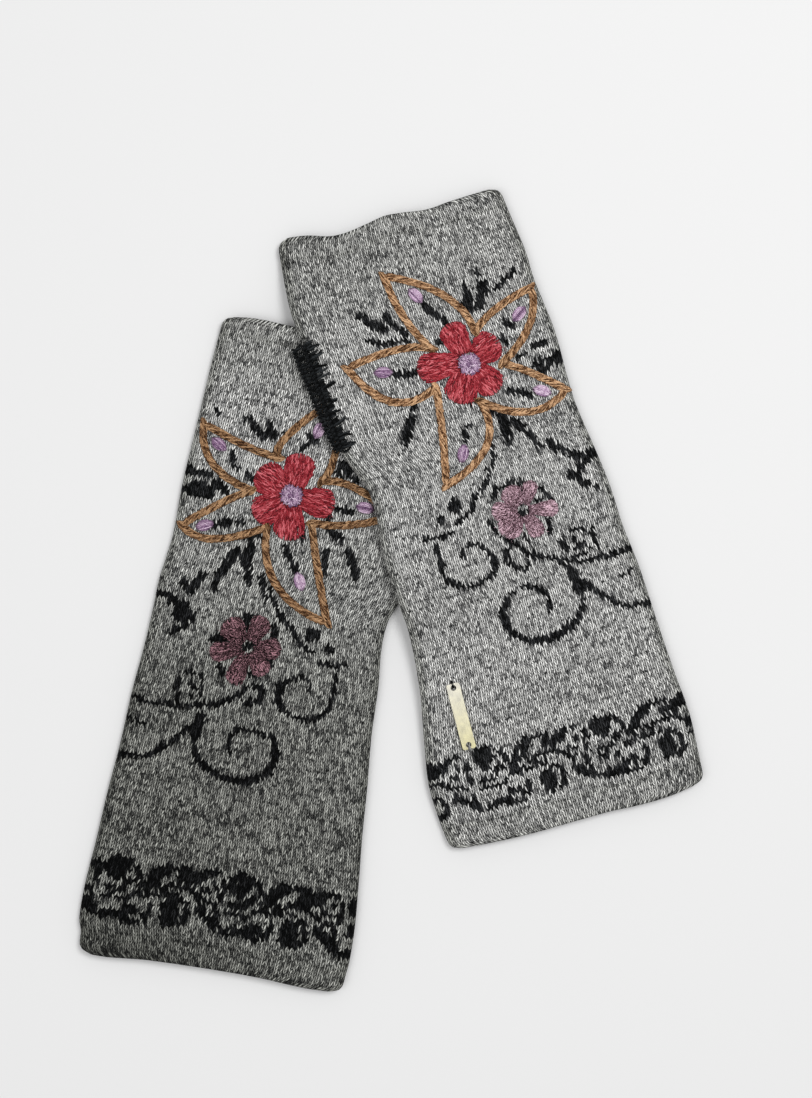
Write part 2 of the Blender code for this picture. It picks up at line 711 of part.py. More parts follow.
def tie(label, material, end, base, forward, normal, wall):
    """A thread from the cloth inside the hole, over the bar's end, and down to the cloth again."""
    hole = BAR_LENGTH / 2 - BAR_HOLE_INSET
    over = BAR_THICKNESS + CLEARANCE + TIE_RADIUS
    foot = base + forward * end * (BAR_LENGTH / 2 + TIE_REACH)
    across, up = from_row(RIGHT, foot.x, foot.y)
    ground = Vector(wall.point(across, up, CLEARANCE + TIE_RADIUS))

    def spot(along, rise):
        return base + forward * end * along + normal * rise

    bar_end = spot(BAR_LENGTH / 2 + CLEARANCE + TIE_RADIUS * 1.4, over * 0.75)
    points = [
        spot(hole, TIE_RADIUS * 1.2),
        spot(hole + 0.1, over * 0.6),
        spot(hole + 0.5, over + 0.15),
        spot(hole + BAR_HOLE_INSET * 0.6, over + 0.3),
        bar_end,
        bar_end.lerp(ground, 0.7) + normal * 0.25,
        ground,
    ]
    round_cord(f"bar_tie_{label}", points, TIE_RADIUS, material)


# ---- the scene ---------------------------------------------------------------------------------------
def clear_scene():
    for obj in list(bpy.data.objects):
        bpy.data.objects.remove(obj)


def make_materials():
    made = {}
    for name, (colour, roughness, metallic) in COLOURS.items():
        material = bpy.data.materials.new(name)
        material.use_nodes = True
        shader = material.node_tree.nodes["Principled BSDF"]
        shader.inputs["Base Color"].default_value = (*colour, 1)
        shader.inputs["Roughness"].default_value = roughness
        shader.inputs["Metallic"].default_value = metallic
        made[name] = material
    return made


def make_warmer(warmer):
    vertices, faces = tube_mesh(warmer)
    tube = mesh_object(f"{warmer.name}_tube", vertices, faces, "knit")
    wall = FrontWall(warmer, tube)
    thumb_edges(warmer)
    embroidery(warmer, wall)
    return wall


clear_scene()
collection = bpy.data.collections.new("wrist_warmers")
cutters = bpy.data.collections.new("cutters")
bpy.context.scene.collection.children.link(collection)
bpy.context.scene.collection.children.link(cutters)
materials = make_materials()
make_warmer(LEFT)
brass_bar(make_warmer(RIGHT))
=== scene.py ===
import math
import random
from functools import partial

import bpy
import numpy as np
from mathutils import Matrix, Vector, noise
from mathutils.bvhtree import BVHTree


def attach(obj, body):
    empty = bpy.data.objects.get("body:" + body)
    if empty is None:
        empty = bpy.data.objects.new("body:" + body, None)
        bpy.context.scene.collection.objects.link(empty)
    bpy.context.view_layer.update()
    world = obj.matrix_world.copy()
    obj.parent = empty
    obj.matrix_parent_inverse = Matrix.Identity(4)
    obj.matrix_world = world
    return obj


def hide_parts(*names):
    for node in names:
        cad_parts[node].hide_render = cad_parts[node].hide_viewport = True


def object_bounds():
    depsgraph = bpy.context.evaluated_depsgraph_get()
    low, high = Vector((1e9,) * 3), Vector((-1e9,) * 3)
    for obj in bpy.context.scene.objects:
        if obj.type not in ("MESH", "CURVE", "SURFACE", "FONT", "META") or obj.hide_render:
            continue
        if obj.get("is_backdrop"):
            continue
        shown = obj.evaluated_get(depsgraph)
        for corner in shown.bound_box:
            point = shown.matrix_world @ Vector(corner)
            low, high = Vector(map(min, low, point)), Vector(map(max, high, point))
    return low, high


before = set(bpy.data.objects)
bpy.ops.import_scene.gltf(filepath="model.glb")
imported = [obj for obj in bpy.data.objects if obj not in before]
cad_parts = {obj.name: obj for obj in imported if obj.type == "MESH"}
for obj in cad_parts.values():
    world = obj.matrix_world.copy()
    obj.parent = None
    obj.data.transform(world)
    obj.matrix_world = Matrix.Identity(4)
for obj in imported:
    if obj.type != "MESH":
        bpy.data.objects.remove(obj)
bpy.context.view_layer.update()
bpy.ops.object.select_all(action="DESELECT")

# ---- The two knitted tubes -----------------------------------------------------------------------------
# Each warmer is one seamless tube of fine marled wool in plain stitch, light and dark grey fibres spun
# together. The black scrolls and the border are knitted in with a second yarn, stitch by stitch. Both
# ends are turned in and sewn down, and the thumb slit is left open in one side.
MM = 0.001
WALL = 1.6                 # one thickness of the cloth, all sizes in millimetres
SKIN = 1.2                 # from the outer face to the inner one
FOLD_GAP = 0.5
PUFF = 0.7
PUFF_FULLNESS = 0.7
FOREARM_HEM = 9.0
KNUCKLE_HEM = 7.5
HEM_SWELL = 0.45
HEM_FADE = 2.0
HEM_GROOVE = 0.38
GROOVE_WIDTH = 1.3
RIM = 1.0
RIM_DROP = 0.5
CORNER_RADIUS = 4.0
SLIT_LOW = 166.0
SLIT_HIGH = 214.0
LIFT = 6.1                 # the right warmer lies this much higher where it crosses the left one
LIFT_RUN = 32.0
WALES = 54                 # columns of stitches across one wall
FOLD_WALES = 3             # and round one side fold
COURSE = 1.43              # height of a row of stitches
V_RISE = 0.42              # share of a course by which the arms of a stitch rise and fall
ARM_RELIEF = 0.14          # how far the edges of an arm lie below its middle
PAST_EDGE = 1.85           # where stitches lie that reach past the cloth: half its thickness when flat
UNEVEN_STITCH = 0.17       # how far a stitch strays sideways, and a little more along the wale
RIPPLE = 0.2               # height of the small unevenness of soft cloth

RIGHT = dict(
    name="right", place=(75.3, -90.8), turn=17.1, length=252.0, slit_side=-1,
    sections=(
        (0, -52.6, 52.6), (12, -53.6, 53.8), (28, -53.6, 54.9), (46, -50.2, 54.0), (66, -45.9, 53.4),
        (90, -43.2, 52.9), (106, -43.9, 51.6), (124, -43.6, 51.3), (140, -41.7, 49.9),
        (151, -42.4, 48.6), (160, -46.0, 47.8), (170, -48.2, 47.8), (190, -49.4, 48.4),
        (212, -50.0, 46.6), (224, -50.6, 46.6), (240, -49.1, 45.0), (256, -46.9, 43.5),
    ),
    forearm_edge=(
        (0, 2.0), (0.07, 1.2), (0.17, 0.2), (0.3, -0.6), (0.5, -1.0), (0.64, -1.4), (0.74, -2.3),
        (0.88, -2.6), (1, -1.4),
    ),
    knuckle_edge=(
        (0, 4.0), (0.1, 2.4), (0.2, -0.5), (0.28, -1.1), (0.38, -0.3), (0.48, 0.8), (0.56, 0.0),
        (0.68, -1.7), (0.8, -1.3), (1, -1.2),
    ),
    folds=(
        (-18, 246, 82, 16, 8, 0.7), (8, 248, 96, 14, 7, 0.6), (-30, 152, 24, 20, 6, 0.7),
        (-28, 132, -12, 18, 7, 0.5), (30, 60, 60, 34, 12, 0.4), (-20, 44, 110, 26, 10, 0.4),
    ),
    border=(-30.2, 33.4, 1.10),
    border_stray=((-30, 1.2, 0.8), (2, 0.0, -0.4), (34, -0.4, -1.2)),
    sprig_stout=1.18,
)
LEFT = dict(
    name="left", place=(-70.9, -153.2), turn=-10.7, length=260.0, slit_side=1,
    sections=(
        (-3, -53.2, 51.4), (3, -54.9, 52.0), (8, -55.3, 52.4), (13, -56.9, 52.8), (26, -57.2, 52.5),
        (44, -56.1, 50.8), (64, -55.2, 48.6), (84, -53.8, 46.9), (104, -53.1, 44.8),
        (124, -51.6, 43.8), (140, -50.9, 42.2), (151, -50.7, 42.8), (160, -49.6, 46.0),
        (170, -48.5, 48.0), (190, -48.6, 49.3), (212, -47.5, 49.8), (224, -46.9, 50.4),
        (240, -46.1, 49.0), (262, -44.6, 46.8),
    ),
    forearm_edge=(
        (0, -1.7), (0.07, -1.5), (0.15, -0.6), (0.24, 0.4), (0.5, 1.5), (0.7, 1.7), (0.88, 1.0), (1, 1.4),
    ),
    knuckle_edge=((0, -0.4), (0.1, 0.6), (0.25, 0.3), (0.5, -0.6), (0.75, 0.4), (1, 1.6)),
    folds=(
        (-22, 254, 80, 14, 8, 0.5), (-30, 120, 30, 30, 10, 0.4), (20, 52, 115, 34, 11, 0.4),
        (-26, 36, 70, 26, 10, 0.35),
    ),
    border=(-45.0, 37.2, 1.32),
    border_stray=((-35, 0.4, -2.0), (-3, 0.4, 0.0), (30, -1.2, -0.4)),
    sprig_stout=1.27,
)

# The figures that are knitted in. Each is a width, and then across and up for each point that its line
# runs through, in millimetres. The first ones are on both warmers, turned over for the left hand.
SCROLL_STOUT = 0.92        # how much of their given width the scrolls have
SCROLLS = dict(
    both=(
        (3.4, -1.4, 92, -4.2, 88.6, -5, 83, -3, 77.8, 1, 74.2, 6, 72.2, 12, 71.9, 18, 73.4, 23, 76, 26, 79.6),
        (2.0, 26, 79.6, 27.6, 84), (4.8, 27.2, 87, 27.2, 91, 26.4, 94.6),
        (2.2, 23.6, 100.4, 28, 98.8, 33, 97.4, 40, 97, 47, 96.6, 56, 98),
        (2.6, 29, 90, 33, 85.6, 37.5, 80.2, 42, 76, 48, 74.4, 56, 74), (1.8, 45, 87.4, 49, 88.4, 56, 88.6),
        (1.9, -13, 112.6, -13.6, 115, -9.6, 117.2),
        (2.4, -9.6, 117.2, -4.6, 114.6, -1.9, 108.4, -4, 103.4, -10.5, 100.9, -17, 101.8, -22, 106, -22.9, 112,
         -22.6, 120.6), (2.2, -26, 124.4, -20, 123.4, -15.4, 123.8), (2.1, -12, 127, -8, 128.6, -5, 129.8),
        (2.6, -4.4, 130.8, -3, 133.4, 0, 136, 4, 138.6), (2.2, 4.8, 140, 7.4, 143.6, 10.6, 148.4),
        (6.6, -10.8, 133.6, -10.4, 133.7), (3.8, -18.4, 129.2, -17.6, 129.6),
    ),
    right=(
        (2.0, 13, 82, 14.6, 86.6, 13.2, 90.8, 9.4, 93.8, 4.4, 94.4, -0.6, 92.6),
        (2.2, 25.4, 97.6, 22.4, 101, 19.4, 103, 15, 104.8, 12.6, 104.6), (3.6, 3.2, 106.6, 3.6, 109.4),
        (2.2, 4.8, 111, 6.4, 112.8, 8.8, 111.8), (3.0, 4.6, 105, 6, 102.8), (2.3, 7, 102, 9.8, 101.2, 11.4, 102.4),
        (1.8, 9.8, 109, 11.6, 107, 13.6, 106.6), (1.9, 12.8, 111.4, 13.2, 111.6), (3.0, 25.8, 107.6, 26.8, 103.8),
        (2.0, 28.2, 108.6, 28.8, 108.4), (1.5, 30.6, 110.2, 35.4, 110.4), (1.9, 36.4, 109, 37.4, 108),
        (1.9, 39.4, 108.6, 38.8, 105.4, 39.2, 101.6), (1.6, 31, 107.4, 31.6, 106.6),
        (1.8, 31, 103.4, 34.2, 104.2, 36.2, 101.8), (1.7, 28.4, 100.4, 33.4, 100.2), (3.3, -2.2, 105.6, -1.6, 109),
    ),
    left=(
        (2.0, -9.6, 87.6, -11, 92, -9.6, 96.4, -5.6, 98.4, -0.6, 98.4, 4, 96.8),
        (2.4, -20.4, 104.8, -15.4, 108, -11.4, 111.2, -7.6, 114.6), (3.4, -5, 116.6, -2.2, 115, -2, 111),
        (2.6, -2.4, 110.6, -4.4, 109), (1.8, -6.8, 111.6, -6.4, 108.4), (1.6, -8.4, 109, -5.6, 107.6),
        (2.6, -35.2, 113.4, -35, 109, -34.4, 106), (1.6, -33, 116.4, -30, 117.2, -27, 116.6),
        (1.9, -26.2, 114.6, -25.6, 111.6), (2.0, -25.4, 109.8, -25.2, 107.8), (2.6, -30.4, 112.4, -28.4, 111),
        (1.7, -30, 108.4, -28.8, 107.6), (3.5, 4.7, 111.8, 4.8, 118.2),
    ),
)
SPRIGS = dict(
    right=(
        (4.0, 17.2, 207, 18.4, 211.6), (1.9, 19, 213.4, 18.6, 217.8), (3.4, 21.8, 207, 23.6, 210),
        (4.0, 25, 213, 26, 214.8), (2.1, 25.4, 216, 25, 220.6),
        (1.6, 27, 212, 30, 211.6, 34, 213.6, 38, 215.4, 40, 217.8), (2.4, -25, 217, -21.4, 212.8),
        (3.2, -20.6, 211.8, -16.8, 209), (2.7, -15, 214, -13.4, 209.6, -9.8, 204.4),
        (2.0, -24, 206, -19.5, 203.6, -14.6, 202.6), (1.8, -12, 202.6, -8.8, 201), (2.6, 1, 215, 3, 210.4, 7, 205),
        (2.2, 2, 198.2, 3.4, 196.6), (2.8, 30.4, 197.2, 32.4, 196.6), (2.0, 27.2, 192.4, 27.8, 190.4),
        (2.0, 23, 171.4, 26.4, 170.4, 28.8, 168.8), (2.8, 29.4, 168.4, 31.4, 167.2), (2.1, 7, 171.4, 7.2, 170.8),
        (2.2, 12, 169.6, 12.6, 169), (2.0, 3.8, 162.6, 2.2, 161.8), (1.9, 1.6, 159.4, 1.4, 157.6),
        (2.7, -19.6, 190.6, -15, 189.2, -10.6, 188.6), (2.2, -13.4, 177.4, -15.4, 174.8),
        (3.2, -17, 172, -19.8, 167.8, -22.4, 164), (2.2, 14.2, 166, 15.4, 164.6), (4.2, 18, 162.6, 18, 160),
        (3.6, 17.8, 158.6, 17.6, 155), (2.4, 17.4, 153.6, 17.2, 150.6), (3.6, 21.6, 159, 24, 156),
        (2.3, 25.6, 153.4, 27.4, 149.4, 29, 146), (2.6, 38, 185.6, 43, 185.6), (1.8, 31, 183, 33.8, 183.4),
        (5.2, 39, 178, 40.4, 177.4), (2.0, 38, 174.4, 39, 174), (3.2, 45.6, 179.6, 45.9, 176.8),
        (3.4, 33.4, 146.4, 37, 142.4), (3.0, 40, 139.4, 44.6, 137.6, 50.6, 137.6), (2.6, 45, 135.6, 41, 133.4),
        (3.8, 37.8, 131.6, 39.6, 131.4), (2.3, 39.6, 129, 42.4, 126.4, 46, 124.2),
        (1.6, 6, 143.6, 9, 146, 10.6, 151), (1.6, 5.3, 133.1, 6.9, 135.4, 11, 135.6, 15.5, 135.8, 18.7, 134.2),
        (1.6, 16.2, 134, 16.3, 129.6), (1.5, 24.2, 130.8, 26, 126.7, 27.4, 125.4), (1.4, 21, 125.6, 23.2, 125.8),
        (1.5, 0.1, 124.4, 1, 121.7, 2.4, 119.9, 2.6, 117), (1.6, 6.5, 122.6, 8.3, 122.2),
        (2.6, 5.2, 114.6, 6.8, 112.6), (1.9, 23.3, 117.2, 23, 112.6), (2.0, 11.9, 114, 13.3, 111.3),
        (1.4, 13.8, 127, 15, 126), (2.0, 12.6, 123, 15.8, 122.8), (1.4, 16.6, 123.6, 18, 122.8),
    ),
    left=(
        (1.8, -41, 222, -39.4, 220.4), (1.9, -28.4, 221.2, -25.8, 220.4), (2.7, -24.5, 218.4, -20.2, 215),
        (2.9, -18.6, 219.8, -16.6, 215.4), (1.7, -11.6, 217.6, -13, 212), (2.6, -1.6, 218.2, 0.6, 217.2),
        (2.2, -3.2, 214.6, -3.8, 212.4), (4.0, 13.8, 209.4, 15.4, 208.6), (2.0, 11, 206.2, 14, 204.4),
        (2.0, 16.8, 205.4, 19.4, 204.4), (2.2, -31, 205.8, -30.2, 203.2), (2.0, -28.8, 201.4, -27.8, 200.6),
        (2.0, -23.6, 198.4, -20.6, 197), (2.4, -47, 195.4, -38, 195.8), (3.6, -34.6, 193, -31.6, 191),
        (5.6, -42, 189.4, -38.6, 189), (1.9, -46, 188.4, -45.2, 186.6), (1.8, -33.2, 177.6, -32.8, 176),
        (2.8, -30, 177.4, -27.2, 178.4), (1.8, -24, 179.2, -22, 180), (2.3, 13.8, 192, 20.4, 192),
        (2.0, 10.6, 188.4, 11.8, 187.4), (2.6, 13.6, 182.6, 17.6, 180.6), (2.9, 21.6, 176, 24, 172.4, 26.6, 167),
        (2.0, 12.8, 174.6, 13.4, 170, 13.8, 165), (1.8, 2.6, 180, 3.2, 177), (2.1, -3, 173, -0.4, 168),
        (2.7, 1.6, 166, 3, 163.6), (2.4, -19.4, 174.4, -14.6, 175.4), (2.4, -17, 172, -16.2, 169.4),
        (3.2, -21.6, 168, -24, 164, -26, 159), (2.2, -27.6, 157.4, -28.2, 151.6),
        (3.8, -17.6, 167.6, -17.2, 163.6), (2.4, -16.2, 162, -15.2, 157), (3.3, -33.8, 155.4, -36.4, 151),
        (2.0, -10.2, 159.6, -8.6, 154, -6.6, 150.6), (3.0, -41, 151.8, -36.6, 148.6),
        (2.2, -51, 146.4, -45, 145.4), (3.0, -44.4, 144, -38, 142.4), (5.4, -39.4, 138.6, -36.4, 138),
        (2.6, -37, 134.4, -42, 131.8), (2.2, -13.6, 143, -9.8, 143.2), (2.6, -13.4, 141.6, -12.4, 138.6),
        (2.4, -1.8, 141, -1.2, 138), (2.2, -25.6, 131.4, -19.6, 132), (3.0, -22.4, 132.4, -20.6, 131.6),
        (2.2, -20.4, 121, -19, 118.6), (1.6, -9.2, 121.6, -5.6, 119.6), (2.4, -1.6, 127.4, 0, 125.4),
        (2.4, -12, 130.6, -10.2, 131.6),
    ),
)
# One repeat of the border, from the middle of its upper dot.
BORDER_REPEAT = 50.0
BEYOND_SIDES = 62.0        # figures that lie further out than this aren't on the front
RAGGED = 0.33              # how unevenly a figure's edge runs
TRIM = 0.04                # taken off each side of a stroke
MOST_RAGGED = 0.75         # an arm of a stitch that strays further stays grey
BORDER = (
    (7.4, -1.0, -0.2, -0.2, 0.2), (2.1, -1.8, 3.4, 4.7, 3.0), (2.0, 6.4, 1.0, 8.2, -1.6, 8.0, -3.2),
    (2.5, 5.9, -4.8, 3.5, -6.2), (2.6, -0.4, -4.2, 0.4, -4.0), (1.9, -3.8, -8.8, 2.2, -8.8),
    (1.7, -4.4, -11.9, 4.8, -12.4), (1.8, 6.6, -10.4, 9.7, -8.8, 12.7, -9.8), (2.8, 9.8, -5.4, 13.4, -4.2),
    (4.2, 13.8, -1.8, 16.6, 0.4, 18.8, 1.6), (1.8, 20.2, 2.9, 28.2, 2.8), (4.4, 26.4, -1.0, 30.2, -0.6, 32.6, 0.4),
    (2.3, 33.4, 1.6, 35.8, 2.6, 39.2, 2.8), (1.7, 38.6, -1.2, 39.4, -3.0), (2.0, 42.2, 0.2, 42.5, -3.2),
    (1.9, 41.2, -4.9, 42.2, -7.9), (2.1, 13.2, -2.4, 14.4, -4.8),
    (1.9, 20.2, -4.4, 28.2, -4.8, 31.7, -6.4, 33.2, -7.0), (1.9, 34.7, -4.8, 37.7, -5.2),
    (2.1, 16.4, -5.4, 19.4, -6.8), (2.0, 11.2, -4.9, 11.6, -7.8), (1.7, 10.2, -8.4, 18.2, -8.6),
    (1.5, 20.2, -8.2, 25.2, -8.2), (5.9, 22.8, -13.8, 23.0, -17.6),
    (1.9, 25.4, -10.2, 28.2, -10.8, 29.7, -14.4, 29.2, -17.4, 26.8, -19.4), (1.8, 33.2, -8.4, 39.7, -9.9),
    (3.3, 34.4, -12.8, 38.2, -15.4, 42.2, -18.8), (1.8, 40.6, -10.6, 41.2, -14.8),
    (3.0, -4.0, -20.0, 0.2, -18.8, 5.2, -18.6), (2.9, 5.4, -16.4, 9.2, -16.2), (2.2, 4.4, -20.4, 10.7, -20.6),
    (2.1, 11.7, -17.6, 13.6, -18.6), (1.9, 14.6, -13.4, 14.3, -16.8),
)


def smooth_through(xs, ys, x):
    if x <= xs[0]:
        return ys[0]
    if x >= xs[-1]:
        return ys[-1]
    i = next(k for k in range(len(xs) - 1) if x <= xs[k + 1])

    def slope(k):
        a, b = max(k - 1, 0), min(k + 1, len(xs) - 1)
        return (ys[b] - ys[a]) / (xs[b] - xs[a])

    step, rise = xs[i + 1] - xs[i], ys[i + 1] - ys[i]
    t = (x - xs[i]) / step
    from_start, from_end = step * slope(i) - rise, rise - step * slope(i + 1)
    return ys[i] + t * rise + t * (1 - t) * ((1 - t) * from_start + t * from_end)


def smooth_step(x):
    x = min(1.0, max(0.0, x))
    return x * x * (3 - 2 * x)


def turned_by(degrees):
    return math.cos(math.radians(degrees)), math.sin(math.radians(degrees))


def to_row(warmer, across, up):
    c, s = turned_by(warmer["turn"])
    return warmer["place"][0] + c * across - s * up, warmer["place"][1] + s * across + c * up


def from_row(warmer, x, y):
    c, s = turned_by(warmer["turn"])
    dx, dy = x - warmer["place"][0], y - warmer["place"][1]
    return c * dx + s * dy, -s * dx + c * dy


def side_edges(warmer, up):
    ups = [s[0] for s in warmer["sections"]]
    left = smooth_through(ups, [s[1] for s in warmer["sections"]], up)
    return left, smooth_through(ups, [s[2] for s in warmer["sections"]], up)


def lift_under(x, y):
    across, up = from_row(LEFT, x, y)
    left, right = side_edges(LEFT, up)
    out_right = smooth_step((right + LIFT_RUN - across) / LIFT_RUN)
    out_left = smooth_step((across - left + LIFT_RUN) / LIFT_RUN)
    out_top = smooth_step((LEFT["length"] + LIFT_RUN - up) / LIFT_RUN)
    return LIFT * out_right * out_left * out_top * smooth_step((up + LIFT_RUN) / LIFT_RUN)


def base_height(warmer, x, y):
    return lift_under(x, y) if warmer is RIGHT else 0.0


def hem_profile(warmer, up):
    added = 0.0
    for distance, hem in ((up, FOREARM_HEM), (warmer["length"] - up, KNUCKLE_HEM)):
        added += HEM_SWELL * smooth_step((hem - distance) / HEM_FADE)
        added -= HEM_GROOVE * math.exp(-(((distance - hem) / GROOVE_WIDTH) ** 2))
        added -= RIM_DROP * (1 - smooth_step(distance / RIM))
    return added


def fold_height(warmer, across, up):
    total = RIPPLE * noise.noise(Vector((across / 11, up / 15, warmer["turn"])))
    total += RIPPLE * 0.6 * noise.noise(Vector((across / 5, up / 4.6, warmer["turn"] + 5)))
    for fold_across, fold_up, angle, length, width, height in warmer["folds"]:
        c, s = turned_by(angle)
        dx, dy = across - fold_across, up - fold_up
        along, aside = c * dx + s * dy, -s * dx + c * dy
        total += height * math.exp(-((along / length) ** 2) - (aside / width) ** 2)
    return total


def cross_section(warmer, up):
    """The flattened tube at one height: its two edges and its thickness."""
    from_hem = min(up, warmer["length"] - up)
    inset = 0.0
    if from_hem < CORNER_RADIUS:
        inset = CORNER_RADIUS - math.sqrt(CORNER_RADIUS**2 - (CORNER_RADIUS - from_hem) ** 2)
    left, right = side_edges(warmer, up)
    return left + inset, right - inset, 2 * WALL + FOLD_GAP + hem_profile(warmer, up)


def tube_point(warmer, section, up, column, inner):
    """One point of the tube. Four columns make a wale: front wall, right fold, back wall, left fold."""
    left, right, height = section
    radius = height / 2
    sunk = SKIN if inner else ARM_RELIEF if column % 2 == 0 else 0.0
    bend, low = radius - sunk, sunk
    first, last = left + radius, right - radius
    wall, fold = 4 * WALES, 4 * FOLD_WALES
    if column <= wall:
        across = first + (last - first) * column / wall
        room = max(0.0, math.sin(math.pi * column / wall)) ** PUFF_FULLNESS
        z = height + (PUFF + fold_height(warmer, across, up)) * room - sunk
    elif column < wall + fold:
        turned = math.pi * (column - wall) / fold
        across, z = last + bend * math.sin(turned), radius + bend * math.cos(turned)
    elif column <= 2 * wall + fold:
        across, z = last - (last - first) * (column - wall - fold) / wall, low
    else:
        turned = math.pi * (column - 2 * wall - fold) / fold
        across, z = first - bend * math.sin(turned), radius - bend * math.cos(turned)
    share, share_up = (across - left) / (right - left), up / warmer["length"]
    shift = smooth_through(warmer["forearm_shares"], warmer["forearm_rises"], share) * (1 - share_up) ** 3
    shift += smooth_through(warmer["knuckle_shares"], warmer["knuckle_rises"], share) * share_up**3
    x, y = to_row(warmer, across, up + shift)
    return (x * MM, y * MM, (z + base_height(warmer, x, y)) * MM), (across, up + shift)


def smooth_line(points, steps=5):
    """A soft line through the points, with a few more between each two."""
    if len(points) < 3:
        return points
    line = []
    for k in range(len(points) - 1):
        a, b, c, d = points[max(k - 1, 0)], points[k], points[k + 1], points[min(k + 2, len(points) - 1)]
        for i in range(steps):
            t = i / steps
            line.append(0.5 * (2 * b + (c - a) * t + (2 * a - 5 * b + 4 * c - d) * t * t
                               + (3 * b - a - 3 * c + d) * t**3))
    return np.array(line + [points[-1]])


def near_line(places, line):
    """How far each place is from a line, in millimetres."""
    nearest = np.full(len(places), 1e9)
    for start, end in zip(line[:-1], line[1:]):
        way = end - start
        t = np.clip(((places - start) @ way) / max(way @ way, 1e-9), 0, 1)
        nearest = np.minimum(nearest, np.linalg.norm(places - start - t[:, None] * way, axis=1))
    return nearest


def knitted_figures(warmer, places):
    """True for each arm of a stitch that is knitted in black."""

    def strokes(rows, stout):
        return [(width * stout, np.array(points, float).reshape(-1, 2)) for width, *points in rows]

    figures = strokes(SPRIGS[warmer["name"]], warmer["sprig_stout"])
    figures += strokes(SCROLLS[warmer["name"]], SCROLL_STOUT)
    for width, points in strokes(SCROLLS["both"], SCROLL_STOUT):
        if warmer is LEFT:
            u, v = points[:, 0], points[:, 1]
            points = np.stack((3.5 - u - 0.12 * np.maximum(0, u - 20), v + 5.5 + 0.035 * np.maximum(0, v - 95)), 1)
        figures.append((width, points))
    start, height, stout = warmer["border"]
    at, stray_across, stray_up = zip(*warmer["border_stray"])
    for repeat in range(-2, 3):
        for width, points in strokes(BORDER, stout):
            points = points + (start + repeat * BORDER_REPEAT, height)
            across = points[:, 0]
            if across.max() > -BEYOND_SIDES and across.min() < BEYOND_SIDES:
                stray = np.interp(across, at, stray_across), np.interp(across, at, stray_up)
                figures.append((width, points + np.stack(stray, 1)))
    black = np.zeros(len(places), bool)
    ragged = np.random.default_rng(3).normal(0, RAGGED, len(places))
    for width, points in figures:
        line = smooth_line(points)
        low, high = line.min(0) - width, line.max(0) + width
        here = np.nonzero(((places > low) & (places < high)).all(1))[0]
        black[here[near_line(places[here], line) + ragged[here] < width / 2 - TRIM]] = True
    return black & (ragged < MOST_RAGGED)


def new_mesh(name, vertices, faces):
    """An object with a mesh, and the vertex at each corner of each of its faces."""
    mesh = bpy.data.meshes.new(name)
    mesh.from_pydata(vertices, [], faces)
    obj = bpy.data.objects.new(name, mesh)
    bpy.context.scene.collection.objects.link(obj)
    mesh.shade_smooth()
    corner_vertex = np.empty(len(mesh.loops), np.int32)
    mesh.loops.foreach_get("vertex_index", corner_vertex)
    return obj, mesh, corner_vertex


def face_values(mesh, name, values):
    mesh.attributes.new(name, "FLOAT", "FACE").data.foreach_set("value", np.array(values, np.float32))


